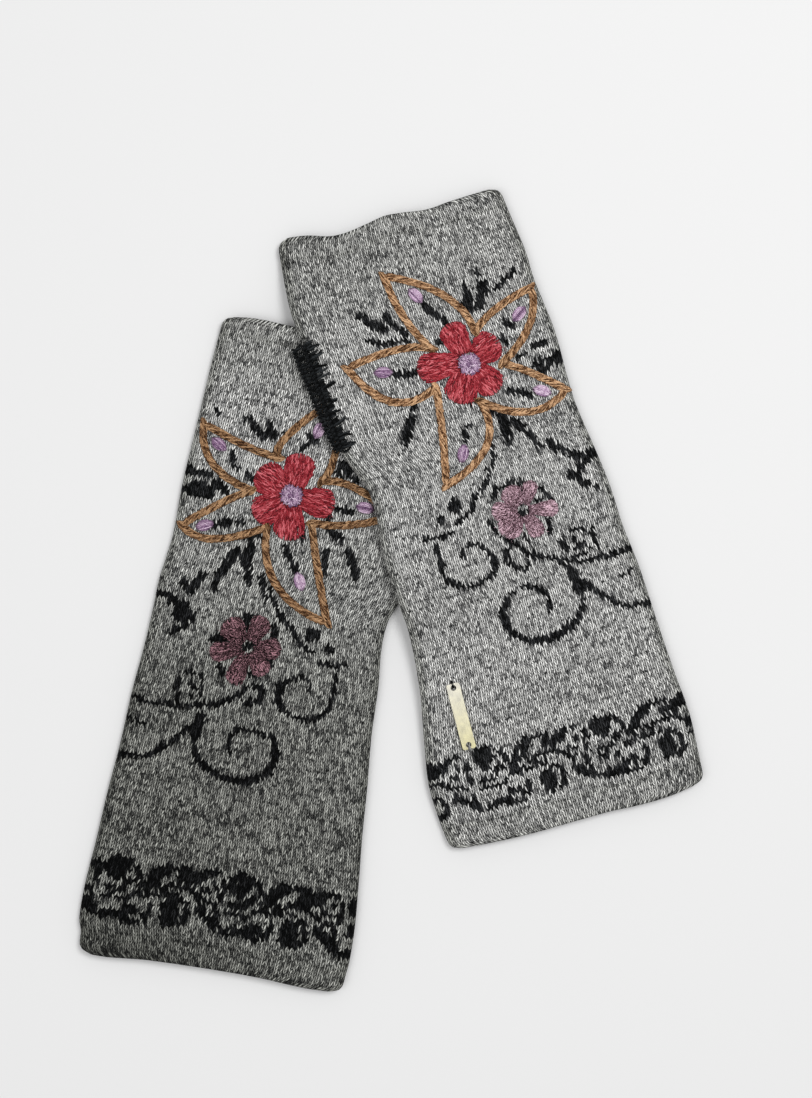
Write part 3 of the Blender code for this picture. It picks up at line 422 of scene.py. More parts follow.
def knit_tube(warmer):
    """The tube, four faces to a stitch, two for each arm of its V, with a plain inner skin behind."""
    for edge in ("forearm", "knuckle"):
        warmer[edge + "_shares"] = [p[0] for p in warmer[edge + "_edge"]]
        warmer[edge + "_rises"] = [p[1] for p in warmer[edge + "_edge"]]
    length, around = warmer["length"], 8 * (WALES + FOLD_WALES)
    rows = round(length / COURSE)
    course = length / rows
    slit_low, slit_high = round(SLIT_LOW / course), round(SLIT_HIGH / course)
    near_slit = set(range(slit_low - 4, slit_low + 4)) | set(range(slit_high - 4, slit_high + 4))
    inner_rows = sorted({0, 1, 3, 6, 9, slit_low, slit_high, rows - 9, rows - 5, rows - 3, rows - 1, rows}
                        | set(range(16, rows - 11, 11)) - near_slit)

    def row_points(row, inner):
        sections = []
        for rise in (V_RISE, 0.0, -V_RISE, 0.0):
            up = course * (row + rise) if 0 < row < rows else course * row
            sections.append((cross_section(warmer, up), up))
        return [tube_point(warmer, *sections[c % 4], c, inner) for c in range(around)]

    vertices, places = [], []
    stray = random.Random(17)
    wall, fold = 4 * WALES, 4 * FOLD_WALES
    for row in range(rows + 1):
        points = row_points(row, False)
        for column, ((x, y, z), _) in enumerate(points):
            loose = UNEVEN_STITCH * MM if 0 < row < rows and column % (wall + fold) < wall else 0.0
            vertices.append((x + stray.uniform(-1, 1) * loose, y + stray.uniform(-1.6, 1.6) * loose, z))
        places.append([p[1] for p in points[: wall + 1]])
    skin = len(vertices)
    for row in inner_rows:
        vertices += [p[0] for p in row_points(row, True)]
    open_columns = range(wall, wall + fold) if warmer["slit_side"] > 0 else range(2 * wall + fold, around)

    def is_open(row, column):
        return slit_low <= row < slit_high and column % around in open_columns

    faces, stitches = [], []
    for row in range(rows):
        for c in range(around):
            if not is_open(row, c):
                a, b = row * around + c, row * around + (c + 1) % around
                faces.append((a + around, b + around, b, a)[::-1])
                stitches.append((row, c))
    for k, row in enumerate(inner_rows[:-1]):
        for c in range(around):
            a, b = skin + k * around + c, skin + k * around + (c + 1) % around
            if not is_open(row, c):
                faces.append((a + around, b + around, b, a))
                stitches.append((row, c))
                for side, column in ((1, c + 1), (-1, c)):
                    if is_open(row, c + side):
                        column %= around
                        rim = [r * around + column for r in range(row, inner_rows[k + 1] + 1)]
                        rim += [skin + (k + 1) * around + column, skin + k * around + column]
                        faces.append(tuple(rim if side < 0 else rim[::-1]))
                        stitches.append((row, column))
    for c in range(around):
        after = (c + 1) % around
        for row, up_side in ((0, False), (rows, True), (slit_low, True), (slit_high, False)):
            if row in (slit_low, slit_high) and c not in open_columns:
                continue
            k = inner_rows.index(row)
            rim = (row * around + c, row * around + after, skin + k * around + after, skin + k * around + c)
            faces.append(rim if up_side else rim[::-1])
            stitches.append((min(row, rows - 1), c))

    tube, mesh, corner_vertex = new_mesh(warmer["name"] + "_knit", vertices, faces)

    # The map runs in stitches: wales round the tube, courses up it.
    on_outside = corner_vertex < skin
    column = np.where(on_outside, corner_vertex, corner_vertex - skin) % around
    inner_row = np.array(inner_rows)[np.clip((corner_vertex - skin) // around, 0, len(inner_rows) - 1)]
    row = np.where(on_outside, corner_vertex // around, inner_row)
    face_start = np.empty(len(mesh.polygons), np.int32)
    mesh.polygons.foreach_get("loop_start", face_start)
    face_size = np.diff(np.append(face_start, len(corner_vertex)))
    widest = np.maximum.reduceat(column, face_start).repeat(face_size)
    column = np.where((column == 0) & (widest > around - 3), around, column)
    chart = mesh.uv_layers.new(name="stitches")
    chart.data.foreach_set("uv", np.stack((column / 4, row), 1).astype(np.float32).ravel())

    # Which stitches are black, and how light the marled yarn is in each.
    places = np.array(places)
    middles = (places[:-1, 1::2] + places[1:, 1::2]) / 2
    black = knitted_figures(warmer, middles.reshape(-1, 2)).reshape(middles.shape[:2])
    arms = np.arange(2 * WALES)
    arm_at = np.concatenate((arms, np.full(2 * FOLD_WALES, arms[-1]), arms[::-1], np.zeros(2 * FOLD_WALES, int)))
    spun = np.random.default_rng(11 if warmer is LEFT else 7)
    wales_round = around // 4
    fleck = spun.random((rows, wales_round, 2))
    stitch_tone = spun.random((rows, wales_round))
    runs = spun.random((rows, wales_round // 5 + 2))
    spot = np.arange(wales_round) / 5
    whole = spot.astype(int)
    long_run = runs[:, whole] * (1 - (spot - whole)) + runs[:, whole + 1] * (spot - whole)
    stitches = np.array(stitches)
    face_row, face_column = stitches[:, 0], stitches[:, 1]
    wale = (face_column // 4) % wales_round
    tone = 0.62 * fleck[face_row, wale, (face_column // 2) % 2] + 0.16 * stitch_tone[face_row, wale]
    tone += 0.22 * long_run[face_row, wale]
    arm = arm_at[(face_column // 2) % len(arm_at)]
    local = middles[face_row, arm]
    # How much painted shade darkens each stitch.
    shade = warmer_shade(warmer, local[:, 0], local[:, 1], course * (face_row + 0.5), face_column / 4)
    face_values(mesh, "yarn_tone", tone)
    face_values(mesh, "black_yarn", black[face_row, arm])
    face_values(mesh, "shade", shade)
    return tube, BVHTree.FromPolygons(vertices[:skin], [f for f in faces[: rows * around] if max(f) < skin])


def warmer_shade(warmer, across, up, from_hem, wale):
    """Painted shade on the knit: darker at the rims of both ends, the hems' sewn lines and the side folds where the
    cloth turns away, the left warmer darker low down, towards its left side and near its top, the right warmer darker
    low down and near its top on the left."""
    def share(distance, run):
        return np.clip(distance / run, 0, 1)

    from_top, narrow = warmer["length"] - from_hem, 0.9
    hems = (from_hem, FOREARM_HEM), (from_top, KNUCKLE_HEM)
    lines = sum(np.exp(-(((distance - hem) / narrow) ** 2)) for distance, hem in hems)
    rims = np.exp(-from_hem / narrow) + np.exp(-from_top / narrow)
    from_side = np.minimum(wale, abs(WALES - wale))
    on_back = (wale > WALES + FOLD_WALES) & (wale < 2 * WALES + FOLD_WALES)
    sides = np.where(wale <= WALES, np.exp(-from_side / 0.8), np.where(on_back, 0.0, 1.0))
    # darkening is painted shade at the rims, the hems' sewn lines and the side folds.
    darkening = (1 - 0.22 * lines) * (1 - 0.25 * rims) * (1 - 0.38 * sides)
    # The rest is painted shade over wider areas, with faint bands along the rows from the sines.
    if warmer is RIGHT:
        low = share(30 - up, 50)
        top = share(up - 212, 22) * (0.12 + 0.09 * share(15 - across, 40))
        return (1.0 - 0.30 * low - top + 0.03 * np.sin(up / 9)) * darkening
    fade, side = share(205 - up, 110), share(44 - across, 70)
    top, low = share(up - 226, 16), share(22 - up, 22)
    shade = 1.0 - fade * (0.52 + 0.10 * side) - 0.155 * top - low * (0.08 + 0.155 * side)
    return (shade + 0.03 * np.sin(up / 11)) * darkening


def add(material, kind, wires=None, **settings):
    """A shader node, with its settings and with what goes into its sockets."""
    made = material.node_tree.nodes.new("ShaderNode" + kind)
    for setting, value in settings.items():
        setattr(made, setting, value)
    for socket, value in (wires or {}).items():
        if isinstance(value, bpy.types.NodeSocket):
            material.node_tree.links.new(value, made.inputs[socket])
        else:
            made.inputs[socket].default_value = value
    return made


def maths(material, operation, *values):
    return add(material, "Math", dict(enumerate(values)), operation=operation).outputs[0]


def ramp(material, fac, *stops):
    made = add(material, "ValToRGB", {0: fac})
    band = made.color_ramp
    while len(band.elements) < len(stops):
        band.elements.new(0.5)
    for element, (position, colour) in zip(band.elements, stops):
        element.position = position
        element.color = (*colour, 1)
    return made.outputs[0]


def mixed(material, fac, one, other, blend="MIX"):
    made = add(material, "Mix", {0: fac, 6: one, 7: other}, data_type="RGBA", blend_type=blend)
    return made.outputs[2]


def surface(material, shader, colour, height, strength, distance):
    """Colour and fine relief, put into the shader."""
    bump = add(material, "Bump", {"Height": height, "Strength": strength, "Distance": distance})
    material.node_tree.links.new(colour, shader.inputs["Base Color"])
    material.node_tree.links.new(bump.outputs[0], shader.inputs["Normal"])


def new_finish(name, roughness, metallic=0.0, sheen=0.0):
    material = bpy.data.materials.new(name)
    material.use_nodes = True
    shader = material.node_tree.nodes["Principled BSDF"]
    shader.inputs["Roughness"].default_value = roughness
    shader.inputs["Metallic"].default_value = metallic
    shader.inputs["Sheen Weight"].default_value = sheen
    shader.inputs["Sheen Roughness"].default_value = 0.5
    shader.inputs["Specular IOR Level"].default_value = 0.06 if metallic == 0 else 0.5
    return material, shader


def marled_knit():
    material, shader = new_finish("marled_knit", 0.92, sheen=0.012)
    calc, node = partial(maths, material), partial(add, material)
    spot = node("SeparateXYZ", {0: node("UVMap", uv_map="stitches").outputs[0]})
    wale, course = spot.outputs[0], spot.outputs[1]
    along = calc("MULTIPLY", calc("PINGPONG", course, 0.5), 2.0)
    across_arms = calc("MULTIPLY", wale, 2.0)
    which_arm = calc("FLOOR", calc("MODULO", across_arms, 2.0))
    lean = calc("MULTIPLY_ADD", which_arm, -0.9, 0.45)
    leaning = calc("MULTIPLY_ADD", calc("SUBTRACT", calc("FRACT", course), 0.5), lean, across_arms)
    arm = calc("MULTIPLY", calc("PINGPONG", leaning, 0.5), 2.0)
    # ridge and bead also darken the colour below, in the grooves between arms and between courses: painted shade.
    ridge = calc("MULTIPLY", arm, calc("SUBTRACT", 2.0, arm))
    bead = calc("MULTIPLY", along, calc("SUBTRACT", 2.0, along))
    relief = calc("MULTIPLY", ridge, calc("MULTIPLY_ADD", bead, 0.42, 0.58))
    grain_at = node("CombineXYZ", {
        0: calc("MULTIPLY", leaning, 2.5), 1: calc("MULTIPLY", course, 2.2), 2: 0.0})
    fibres = node("TexNoise", {
        "Vector": grain_at.outputs[0], "Scale": 1.0, "Detail": 4.0, "Roughness": 0.7}).outputs[0]
    tone = node("Attribute", attribute_name="yarn_tone").outputs["Fac"]
    black = node("Attribute", attribute_name="black_yarn").outputs["Fac"]
    shade = node("Attribute", attribute_name="shade").outputs["Fac"]
    mixture = calc("MULTIPLY_ADD", fibres, 2.2, calc("MULTIPLY_ADD", tone, 1.0, -1.075))
    # Where the painted shade is deep, the mix turns to dark fibres, and an olive tint follows it.
    mixture = calc("ADD", mixture, calc("MULTIPLY_ADD", shade, 0.2, -0.2))
    grey = ramp(material, mixture, (0.14, (0.06, 0.061, 0.064)), (0.5, (0.62, 0.62, 0.605)), (0.78, (1.0, 1.0, 0.97)))
    olive = mixed(material, shade, (0.98, 1.0, 0.91, 1), (1.0, 1.0, 1.0, 1))
    grey = mixed(material, 1.0, grey, olive, "MULTIPLY")
    soot = ramp(material, mixture, (0.3, (0.003, 0.0033, 0.0036)), (0.85, (0.05, 0.052, 0.055)))
    yarn = mixed(material, black, grey, soot)
    # gap is painted shade: darker in the knit's grooves, and by the shade attribute.
    gap = calc("MULTIPLY", calc("POWER", shade, 0.68), calc("MULTIPLY_ADD", calc("POWER", relief, 2.0), 1.25, 0.01))
    shadowed = node("VectorMath", {0: yarn, "Scale": gap}, operation="SCALE").outputs[0]
    surface(material, shader, shadowed, calc("MULTIPLY_ADD", fibres, 0.25, relief), 0.8, 0.0004)
    return material


knit_finish = marled_knit()
on_cloth = {}
for warmer in (LEFT, RIGHT):
    tube, tree = knit_tube(warmer)
    tube.data.materials.append(knit_finish)
    on_cloth[warmer["name"]] = tree
    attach(tube, "root")
    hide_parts(warmer["name"] + "_tube")


def straight_down(tree, x, y):
    """Where a surface is met from straight above, if it is."""
    return tree.ray_cast(Vector((x * MM, y * MM, 0.1)), Vector((0, 0, -1)))[0]


def above(warmer, across, up, out):
    """The place that lies out millimetres above the front wall, in metres."""
    x, y = to_row(warmer, across, up)
    hit = straight_down(on_cloth[warmer["name"]], x, y)
    if hit is None:
        return Vector((x * MM, y * MM, (base_height(warmer, x, y) + PAST_EDGE + out) * MM))
    return Vector((x * MM, y * MM, hit.z + out * MM))


# ---- Red wool flowers ----------------------------------------------------------------------------------
# Five petals a flower in soft two-ply wool. Each is a bed of long stitches from the middle to the
# petal's round end, under many short satin stitches. The left warmer's flower is given darker wool: painted shade.
RED_FLOWERS = dict(
    right=((11.0, 186.5), ((22, 15.6, 6.4), (99, 17.6, 5.6), (171, 20.6, 6.1), (239, 16.9, 6.8), (301, 16.6, 6.0))),
    left=((-4.7, 193.5), ((357, 18.0, 6.1), (84, 17.6, 6.1), (153, 17.0, 7.0), (219, 17.2, 6.4), (277, 18.0, 6.4))),
)
PETAL_YARN = 0.42          # radius of a strand
PETAL_STRANDS = 14         # in a petal's bed, and ten times as many over it
PETAL_ROOT = 3.4           # how far from the flower's middle they start
PETAL_HEIGHT = 1.15
PETAL_HAIRS = 16


def polar(angle, reach):
    c, s = turned_by(angle)
    return Vector((reach * c, reach * s))


class Yarns:
    """Many lengths of yarn, joined into one mesh as they are laid."""

    def __init__(self, sides=6):
        self.sides, self.vertices, self.faces, self.places, self.marks = sides, [], [], [], []

    def lay(self, points, radius, mark=0.5, squash=1.0, thin_ends=0.35):
        """One length along the points, in metres, thinner at both ends and closed there."""
        points = [Vector(p) for p in points]
        count, sides, start = len(points), self.sides, len(self.vertices)
        along = 0.0
        for k, point in enumerate(points):
            way = (points[min(k + 1, count - 1)] - points[max(k - 1, 0)]).normalized()
            aside = way.cross(Vector((0, 0, 1)))
            aside = aside.normalized() if aside.length > 0.05 else Vector((1, 0, 0))
            out = aside.cross(way)
            if k:
                along += (point - points[k - 1]).length / MM
            share = thin_ends if k in (0, count - 1) else 1.0
            for i in range(sides):
                turned = 2 * math.pi * i / sides
                round_it = aside * math.cos(turned) + out * math.sin(turned) * squash
                self.vertices.append(point + round_it * radius * share * MM)
                self.places.append((i / sides, along))
        for k in range(count - 1):
            for i in range(sides):
                a, b = start + k * sides + i, start + k * sides + (i + 1) % sides
                self.faces.append((a, a + sides, b + sides, b))
                self.marks.append(mark)
        self.faces.append(tuple(start + i for i in range(sides)))
        self.faces.append(tuple(start + (count - 1) * sides + i for i in reversed(range(sides))))
        self.marks += [mark, mark]

    def piece(self, name, material, replaced):
        obj, mesh, corner_vertex = new_mesh(name, self.vertices, self.faces)
        places = np.array(self.places, np.float32)[corner_vertex]
        position = 0
        for polygon in mesh.polygons:       # the face that closes the ring runs on to one whole turn
            size = polygon.loop_total
            turns = places[position : position + size, 0]
            if size == 4 and turns.max() > 1 - 1.5 / self.sides:
                turns[turns < 0.5 / self.sides] = 1.0
            position += size
        mesh.uv_layers.new(name="yarn").data.foreach_set("uv", places.ravel())
        face_values(mesh, "strand", self.marks)
        mesh.materials.append(material)
        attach(obj, "root")
        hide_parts(*replaced)


def wool(name, dark, body, light, pitch=2.4, groove=0.24, fuzz=1.0):
    """Plied wool: the plies wind round the strand, and fine fibres lie along them."""
    material, shader = new_finish(name, 0.9, sheen=0.03)
    calc, node = partial(maths, material), partial(add, material)
    spot = node("SeparateXYZ", {0: node("UVMap", uv_map="yarn").outputs[0]})
    turn, along = spot.outputs[0], spot.outputs[1]
    winding = calc("MULTIPLY_ADD", along, 1.0 / pitch, turn)
    ply = calc("MULTIPLY", calc("PINGPONG", calc("MULTIPLY", winding, 2.0), 0.5), 2.0)
    strand = node("Attribute", attribute_name="strand").outputs["Fac"]
    at = node("CombineXYZ", {
        0: calc("MULTIPLY", turn, 7.0), 1: calc("MULTIPLY", along, 0.9), 2: calc("MULTIPLY", strand, 37.0)})
    fibres = node("TexNoise", {"Vector": at.outputs[0], "Scale": 1.3, "Detail": 4.0, "Roughness": 0.65}).outputs[0]
    mixture = calc("MULTIPLY_ADD", fibres, 1.6 * fuzz, calc("MULTIPLY_ADD", strand, 0.65, 0.2 - 0.8 * fuzz))
    # The colour is darker in the grooves between the plies: painted shade.
    mixture = calc("ADD", mixture, calc("MULTIPLY_ADD", ply, groove, -0.6 * groove))
    colour = ramp(material, mixture, (0.12, dark), (0.5, body), (0.88, light))
    surface(material, shader, colour, calc("MULTIPLY_ADD", ply, 4 * groove, fibres), 0.7, 0.0003)
    return material


def wool_pair(name, light_yarn, shaded_yarn, **how):
    """One wool for both warmers, with a darker copy for the left one: painted shade."""
    return dict(right=wool(name + "_light", *light_yarn, **how), left=wool(name + "_shaded", *shaded_yarn, **how))


def satin_petal(yarns, warmer, middle, petal, root, count, radius, height, hand, narrow=0.68, dark_root=0.0):
    """A bed of long stitches from near the flower's middle out to the petal's round end, and shorter
    ones laid over it, each a little askew."""
    angle, reach, half_width = petal
    way = polar(angle, 1.0)
    aside, centre = Vector((-way.y, way.x)), Vector(middle)

    def stitch(share, start_out, end_out, askew, rise, thick, mark):
        full = reach - half_width + math.sqrt(max(0.02, 1 - (share * 0.93) ** 2)) * half_width
        end_out = min(end_out, full)
        sway, phase = hand.uniform(0.08, 0.32), hand.uniform(0, 6.3)
        points = []
        for i in range(7):
            t = i / 6
            out_along = start_out + (end_out - start_out) * t
            widening = smooth_step((out_along - root) / (reach - half_width - root + 1))
            width = half_width * (narrow + (1 - narrow) * widening)
            aside_by = share * (width - radius * 0.5) + askew * (t - 0.5) * (end_out - start_out)
            spot = centre + way * out_along + aside * (aside_by + sway * math.sin(phase + 5 * t))
            dome = math.sqrt(max(0.0, 1 - 0.8 * share * share))
            dome *= math.sqrt(max(0.05, 1 - (out_along / (reach + 0.6)) ** 6))
            bow = 0.35 + 0.65 * math.sin(math.pi * t) ** 0.5
            points.append(above(warmer, spot.x, spot.y, 0.1 + height * dome * rise * bow))
        yarns.lay(points, thick, mark, squash=0.85)

    for k in range(count):
        share = -1 + 2 * (k + 0.5) / count
        # The bed's marks are low, so it is darker: painted shade where it shows between the short stitches.
        stitch(share, root, reach, 0.0, 0.62, radius * 1.15, hand.uniform(0.1, 0.4) * (1 - 0.6 * dark_root))
    for k in range(count * 10):
        share, start = hand.uniform(-1, 1), hand.uniform(root, reach - 2.4)
        # Near a petal's sides the marks fall, darker: painted shade where the dome curves away.
        mark = hand.random() * (1 - 0.5 * abs(share) ** 3)
        mark *= 1 - dark_root * (1 - smooth_step(1.6 * (start - root) / (reach - root)))
        stitch(share, start, start + hand.uniform(2.6, 5.2), hand.uniform(-0.3, 0.3), hand.uniform(0.78, 1.0),
               radius * hand.uniform(0.45, 0.74), mark)
    for k in range(PETAL_HAIRS):
        share, t = hand.uniform(-1, 1), hand.uniform(0.2, 1.0)
        root_at = centre + way * (root + (reach - root) * t * 0.96) + aside * share * half_width * 0.9
        leaning = (way * hand.uniform(0.2, 1) + aside * share * hand.uniform(0.3, 1.2)) * hand.uniform(0.8, 1.7)
        half, tip = root_at + leaning * 0.5, root_at + leaning
        yarns.lay([above(warmer, *root_at, height * 0.5), above(warmer, *half, height * hand.uniform(0.6, 1.1)),
                   above(warmer, *tip, hand.uniform(0.15, 0.9))], 0.08, hand.random())


red_wools = wool_pair(
    "red_wool", ((0.055, 0.003, 0.006), (0.41, 0.032, 0.045), (0.84, 0.23, 0.26)),
    ((0.050, 0.0027, 0.005), (0.365, 0.028, 0.040), (0.77, 0.205, 0.235)), groove=0.08, fuzz=1.25)
for warmer in (LEFT, RIGHT):
    hand = random.Random(3)
    name = warmer["name"]
    middle, petals = RED_FLOWERS[name]
    yarns = Yarns()
    for petal in petals:
        satin_petal(yarns, warmer, middle, petal, PETAL_ROOT, PETAL_STRANDS, PETAL_YARN, PETAL_HEIGHT, hand)
    yarns.piece(f"{name}_red_petals", red_wools[name], [f"{name}_red_flower"])

# ---- Lilac buttons and dots ----------------------------------------------------------------------------
# The flower's middle is a round knob of lilac wool, worked in short stitches from its centre outwards.
# A small lilac oval of two layers of flat stitches lies in each leaf, near the tip.
BUTTON_SHIFT = dict(right=(0.2, -0.9), left=(0.0, 0.0))    # from the middle of the flower
CENTRE_RADIUS = 4.5
CENTRE_HEIGHT = 1.8
DOT_HALF_LENGTH = 3.9
DOT_HALF_WIDTH = 2.6
BUTTON_STITCHES = 165
BUTTON_BED = 40            # the first of them are thick and lie low
# Leaves: notch, near side, tip, far side and dot, each as degrees and reach from the flower's middle.
LEAVES = dict(
    right=(
        ((343, 13.5), (15, 29.0), (33.3, 39.6), (45.8, 24.4), (27, 28.6)),
        ((60, 12.5), (92, 28.5), (116.8, 48.4), (127.8, 31.0), (110.6, 34.2)),
        ((143, 15.0), (152.5, 28.2), (165.7, 48.2), (190.5, 33.8), (169.8, 34.0)),
        ((200, 16.0), (235, 32.3), (242.7, 49.8), (265.7, 33.6), (249.8, 36.2)),
        ((270, 15.6), (305.4, 31.4), (328.2, 40.6), (335.6, 24.2), (323, 31.7)),
    ),
    left=(
        ((318, 13.4), (343.7, 25.7), (359.3, 41.5), (18.4, 25.3), (1.5, 30.0)),
        ((36, 13.0), (55.3, 25.0), (74.6, 44.0), (103.9, 24.2), (77.5, 28.7)),
        ((118, 15.6), (143.5, 27.7), (150.8, 45.4), (168.1, 34.0), (155.1, 35.6)),
        ((183, 15.6), (195.9, 27.3), (205.3, 45.2), (219.4, 35.6), (209.4, 36.6)),
        ((243, 15.6), (271.2, 36.0), (296.5, 53.0), (299.9, 32.9), (286.5, 34.4)),
    ),
)


# The second colours, for the left warmer, are darker: painted shade.
lilac_wools = wool_pair(
    "lilac_wool", ((0.04, 0.016, 0.06), (0.395, 0.228, 0.39), (0.95, 0.79, 0.93)),
    ((0.034, 0.013, 0.05), (0.35, 0.20, 0.345), (0.86, 0.70, 0.83)), groove=0.1, fuzz=1.5)
for warmer in (LEFT, RIGHT):
    hand = random.Random(8)
    name = warmer["name"]
    centre = Vector(RED_FLOWERS[name][0])
    yarns = Yarns(sides=5)
    button = centre + Vector(BUTTON_SHIFT[name])
    for k in range(BUTTON_STITCHES):
        bed = k < BUTTON_BED
        out_share = math.sqrt(hand.random()) * 0.92
        angle = hand.uniform(0, 360)
        spot = button + polar(angle, CENTRE_RADIUS * out_share)
        way = polar(angle + hand.uniform(-75, 75), 1.0)
        length = hand.uniform(1.4, 3.2)
        dome = CENTRE_HEIGHT * math.sqrt(1 - out_share**2)
        points = []
        for i in range(5):
            t = i / 4 - 0.5
            place = spot + way * length * t + polar(angle + 90, hand.uniform(-0.15, 0.15))
            if (place - button).length > CENTRE_RADIUS * 1.08:
                place = button + (place - button).normalized() * CENTRE_RADIUS * 1.08
            rise = 0.2 + dome * (0.55 if bed else 0.85) + 0.5 * (0.25 - t * t)
            points.append(above(warmer, *place, rise))
        # Bed stitches get dark marks, painted shade where they show between the stitches over them; top stitches
        # darken towards the knob's edge, painted shade too, and those near the middle are darker.
        mark = hand.uniform(0, 0.3) if bed else hand.uniform(0.25, 1.0) * (1 - 0.4 * out_share**3)
        mark *= 0.3 if out_share < 0.24 else 1.0
        yarns.lay(points, (0.5 if bed else 0.25) * hand.uniform(0.8, 1.15), mark)
    yarns.piece(f"{name}_lilac_button", lilac_wools[name], [f"{name}_flower_centre"])
    for number, leaf in enumerate(LEAVES[name], start=1):
        yarns = Yarns(sides=5)
        middle = centre + polar(*leaf[4])
        way = polar(leaf[2][0], 1.0)
        aside = Vector((-way.y, way.x))
        for layer in range(2):
            for k in range(8 - layer):
                share = -1 + 2 * (k + 0.5) / (8 - layer)
                half = DOT_HALF_LENGTH * math.sqrt(1 - (share * 0.85) ** 2) * hand.uniform(0.88, 1.05)
                points = []
                for i in range(7):
                    t = -1 + i / 3
                    spot = middle + way * half * t + aside * share * (DOT_HALF_WIDTH - 0.4) * (1 - 0.25 * t * t)
                    points.append(above(warmer, *spot, 0.1 + (0.75 + 0.45 * layer) * (1 - t * t) ** 0.5))
                thick = 0.36 * hand.uniform(0.8, 1.1)
                # The lower layer gets darker marks: painted shade at the dot's edges and between the stitches over
                # it.
                yarns.lay(points, thick, hand.uniform(*((0, 0.35), (0.1, 0.85))[layer]), squash=0.85)
        yarns.piece(f"{name}_lilac_dot_stitches_{number}", lilac_wools[name],
                    [f"{name}_lilac_dot_{number}"])

# ---- Leaf outlines in stem stitch -----------------------------------------------------------------------
# One thick copper-brown yarn runs round all five leaves. Each stitch lies slantwise over the end of the
# last one, so the line looks like a twisted rope.
STEM_STEP = 1.7            # from one stitch to the next
STEM_STITCH = 4.6          # length of a stitch
STEM_SLANT = 1.0           # how far each end lies off the line
STEM_PLY = 0.31            # radius of one of the five plies of its yarn
STEM_PLIES = (-1.05, -0.55, 0.0, 0.55, 1.05)    # where they lie across the stitch


def arc_through(start, belly, end, steps=24):
    control = belly * 2 - (start + end) / 2
    return [start * (1 - k / steps) ** 2 + control * 2 * (k / steps) * (1 - k / steps) + end * (k / steps) ** 2
            for k in range(steps + 1)]


def walk(points, step):
    """Places a step apart along a line of points, each with its direction."""
    places, wanted, passed = [], 0.0, 0.0
    total = sum((b - a).length for a, b in zip(points[:-1], points[1:]))
    step = total / max(1, round(total / step))
    for a, b in zip(points[:-1], points[1:]):
        way = b - a
        while wanted <= passed + way.length + 1e-6 and wanted < total - step * 0.5:
            places.append((a + way * ((wanted - passed) / way.length), way.normalized()))
            wanted += step
        passed += way.length
    return places


# The second colours, for the left warmer, are darker: painted shade.
copper_wools = wool_pair(
    "copper_wool", ((0.014, 0.005, 0.002), (0.237, 0.107, 0.045), (0.84, 0.54, 0.31)),
    ((0.008, 0.003, 0.0015), (0.157, 0.070, 0.029), (0.60, 0.37, 0.20)), groove=0.12, fuzz=1.8)
for warmer in (LEFT, RIGHT):
    hand = random.Random(21)
    name = warmer["name"]
    centre, leaves = Vector(RED_FLOWERS[name][0]), LEAVES[name]
    yarns = Yarns(sides=5)
    for k, (notch, near, tip, far, _) in enumerate(leaves):
        after = leaves[(k + 1) % len(leaves)][0]
        for side in (arc_through(polar(*notch), polar(*near), polar(*tip)),
                     arc_through(polar(*tip), polar(*far), polar(*after))):
            for place, way in walk(side, STEM_STEP):
                aside = Vector((-way.y, way.x))
                slant = STEM_SLANT * hand.uniform(0.8, 1.15)
                for strand in STEM_PLIES:
                    points = []
                    for i in range(6):
                        t = i / 5 - 0.5
                        spot = centre + place + way * (STEM_STITCH * t + hand.uniform(-0.12, 0.12))
                        spot += aside * (slant * 2 * t + strand * math.cos(2.6 * t) + hand.uniform(-0.08, 0.08))
                        rise = 0.2 + 0.85 * max(0.0, math.cos(math.pi * t)) ** 0.8 * (1 - 0.4 * strand * strand)
                        points.append(above(warmer, *spot, rise))
                    yarns.lay(points, STEM_PLY * hand.uniform(0.8, 1.15), hand.random(), thin_ends=0.5)
    yarns.piece(f"{name}_leaf_stems", copper_wools[name], [f"{name}_leaf_outline"])

# ---- Plum flowers ---------------------------------------------------------------------------------------
# Six petals in dusky pink and plum wool, again in satin stitches, darkest near the middle, with the
# knit and its black stitches showing between them. The left warmer's flower is given darker wool: painted shade.
PLUM_FLOWERS = dict(
    right=((15.0, 124.0), ((56, 12.4, 3.0), (110, 11.5, 4.3), (165, 12.8, 3.6), (215, 13.2, 4.9),
                           (287, 12.5, 3.6), (347, 14.1, 3.3))),
    left=((-10.5, 131.0), ((5.5, 13.5, 4.3), (71, 13.8, 4.2), (140, 13.9, 5.2), (200, 15.6, 3.9),
                           (258, 16.3, 4.1), (312, 13.2, 3.9))),
)
PLUM_ROOT = 2.2
PLUM_STRANDS = 10
PLUM_HEIGHT = 1.0
plum_wools = wool_pair(
    "plum_wool", ((0.012, 0.003, 0.006), (0.24, 0.124, 0.156), (0.96, 0.68, 0.78)),
    ((0.002, 0.0008, 0.001), (0.026, 0.0095, 0.0115), (0.53, 0.28, 0.325)), groove=0.1, fuzz=3.0)
for warmer in (LEFT, RIGHT):
    hand = random.Random(5)
    name = warmer["name"]
    middle, petals = PLUM_FLOWERS[name]
    yarns = Yarns()
    for petal in petals:
        satin_petal(yarns, warmer, middle, petal, PLUM_ROOT, PLUM_STRANDS, PETAL_YARN, PLUM_HEIGHT, hand,
                    narrow=0.56, dark_root=0.6)
    yarns.piece(f"{name}_plum_petals", plum_wools[name], [f"{name}_plum_flower"])

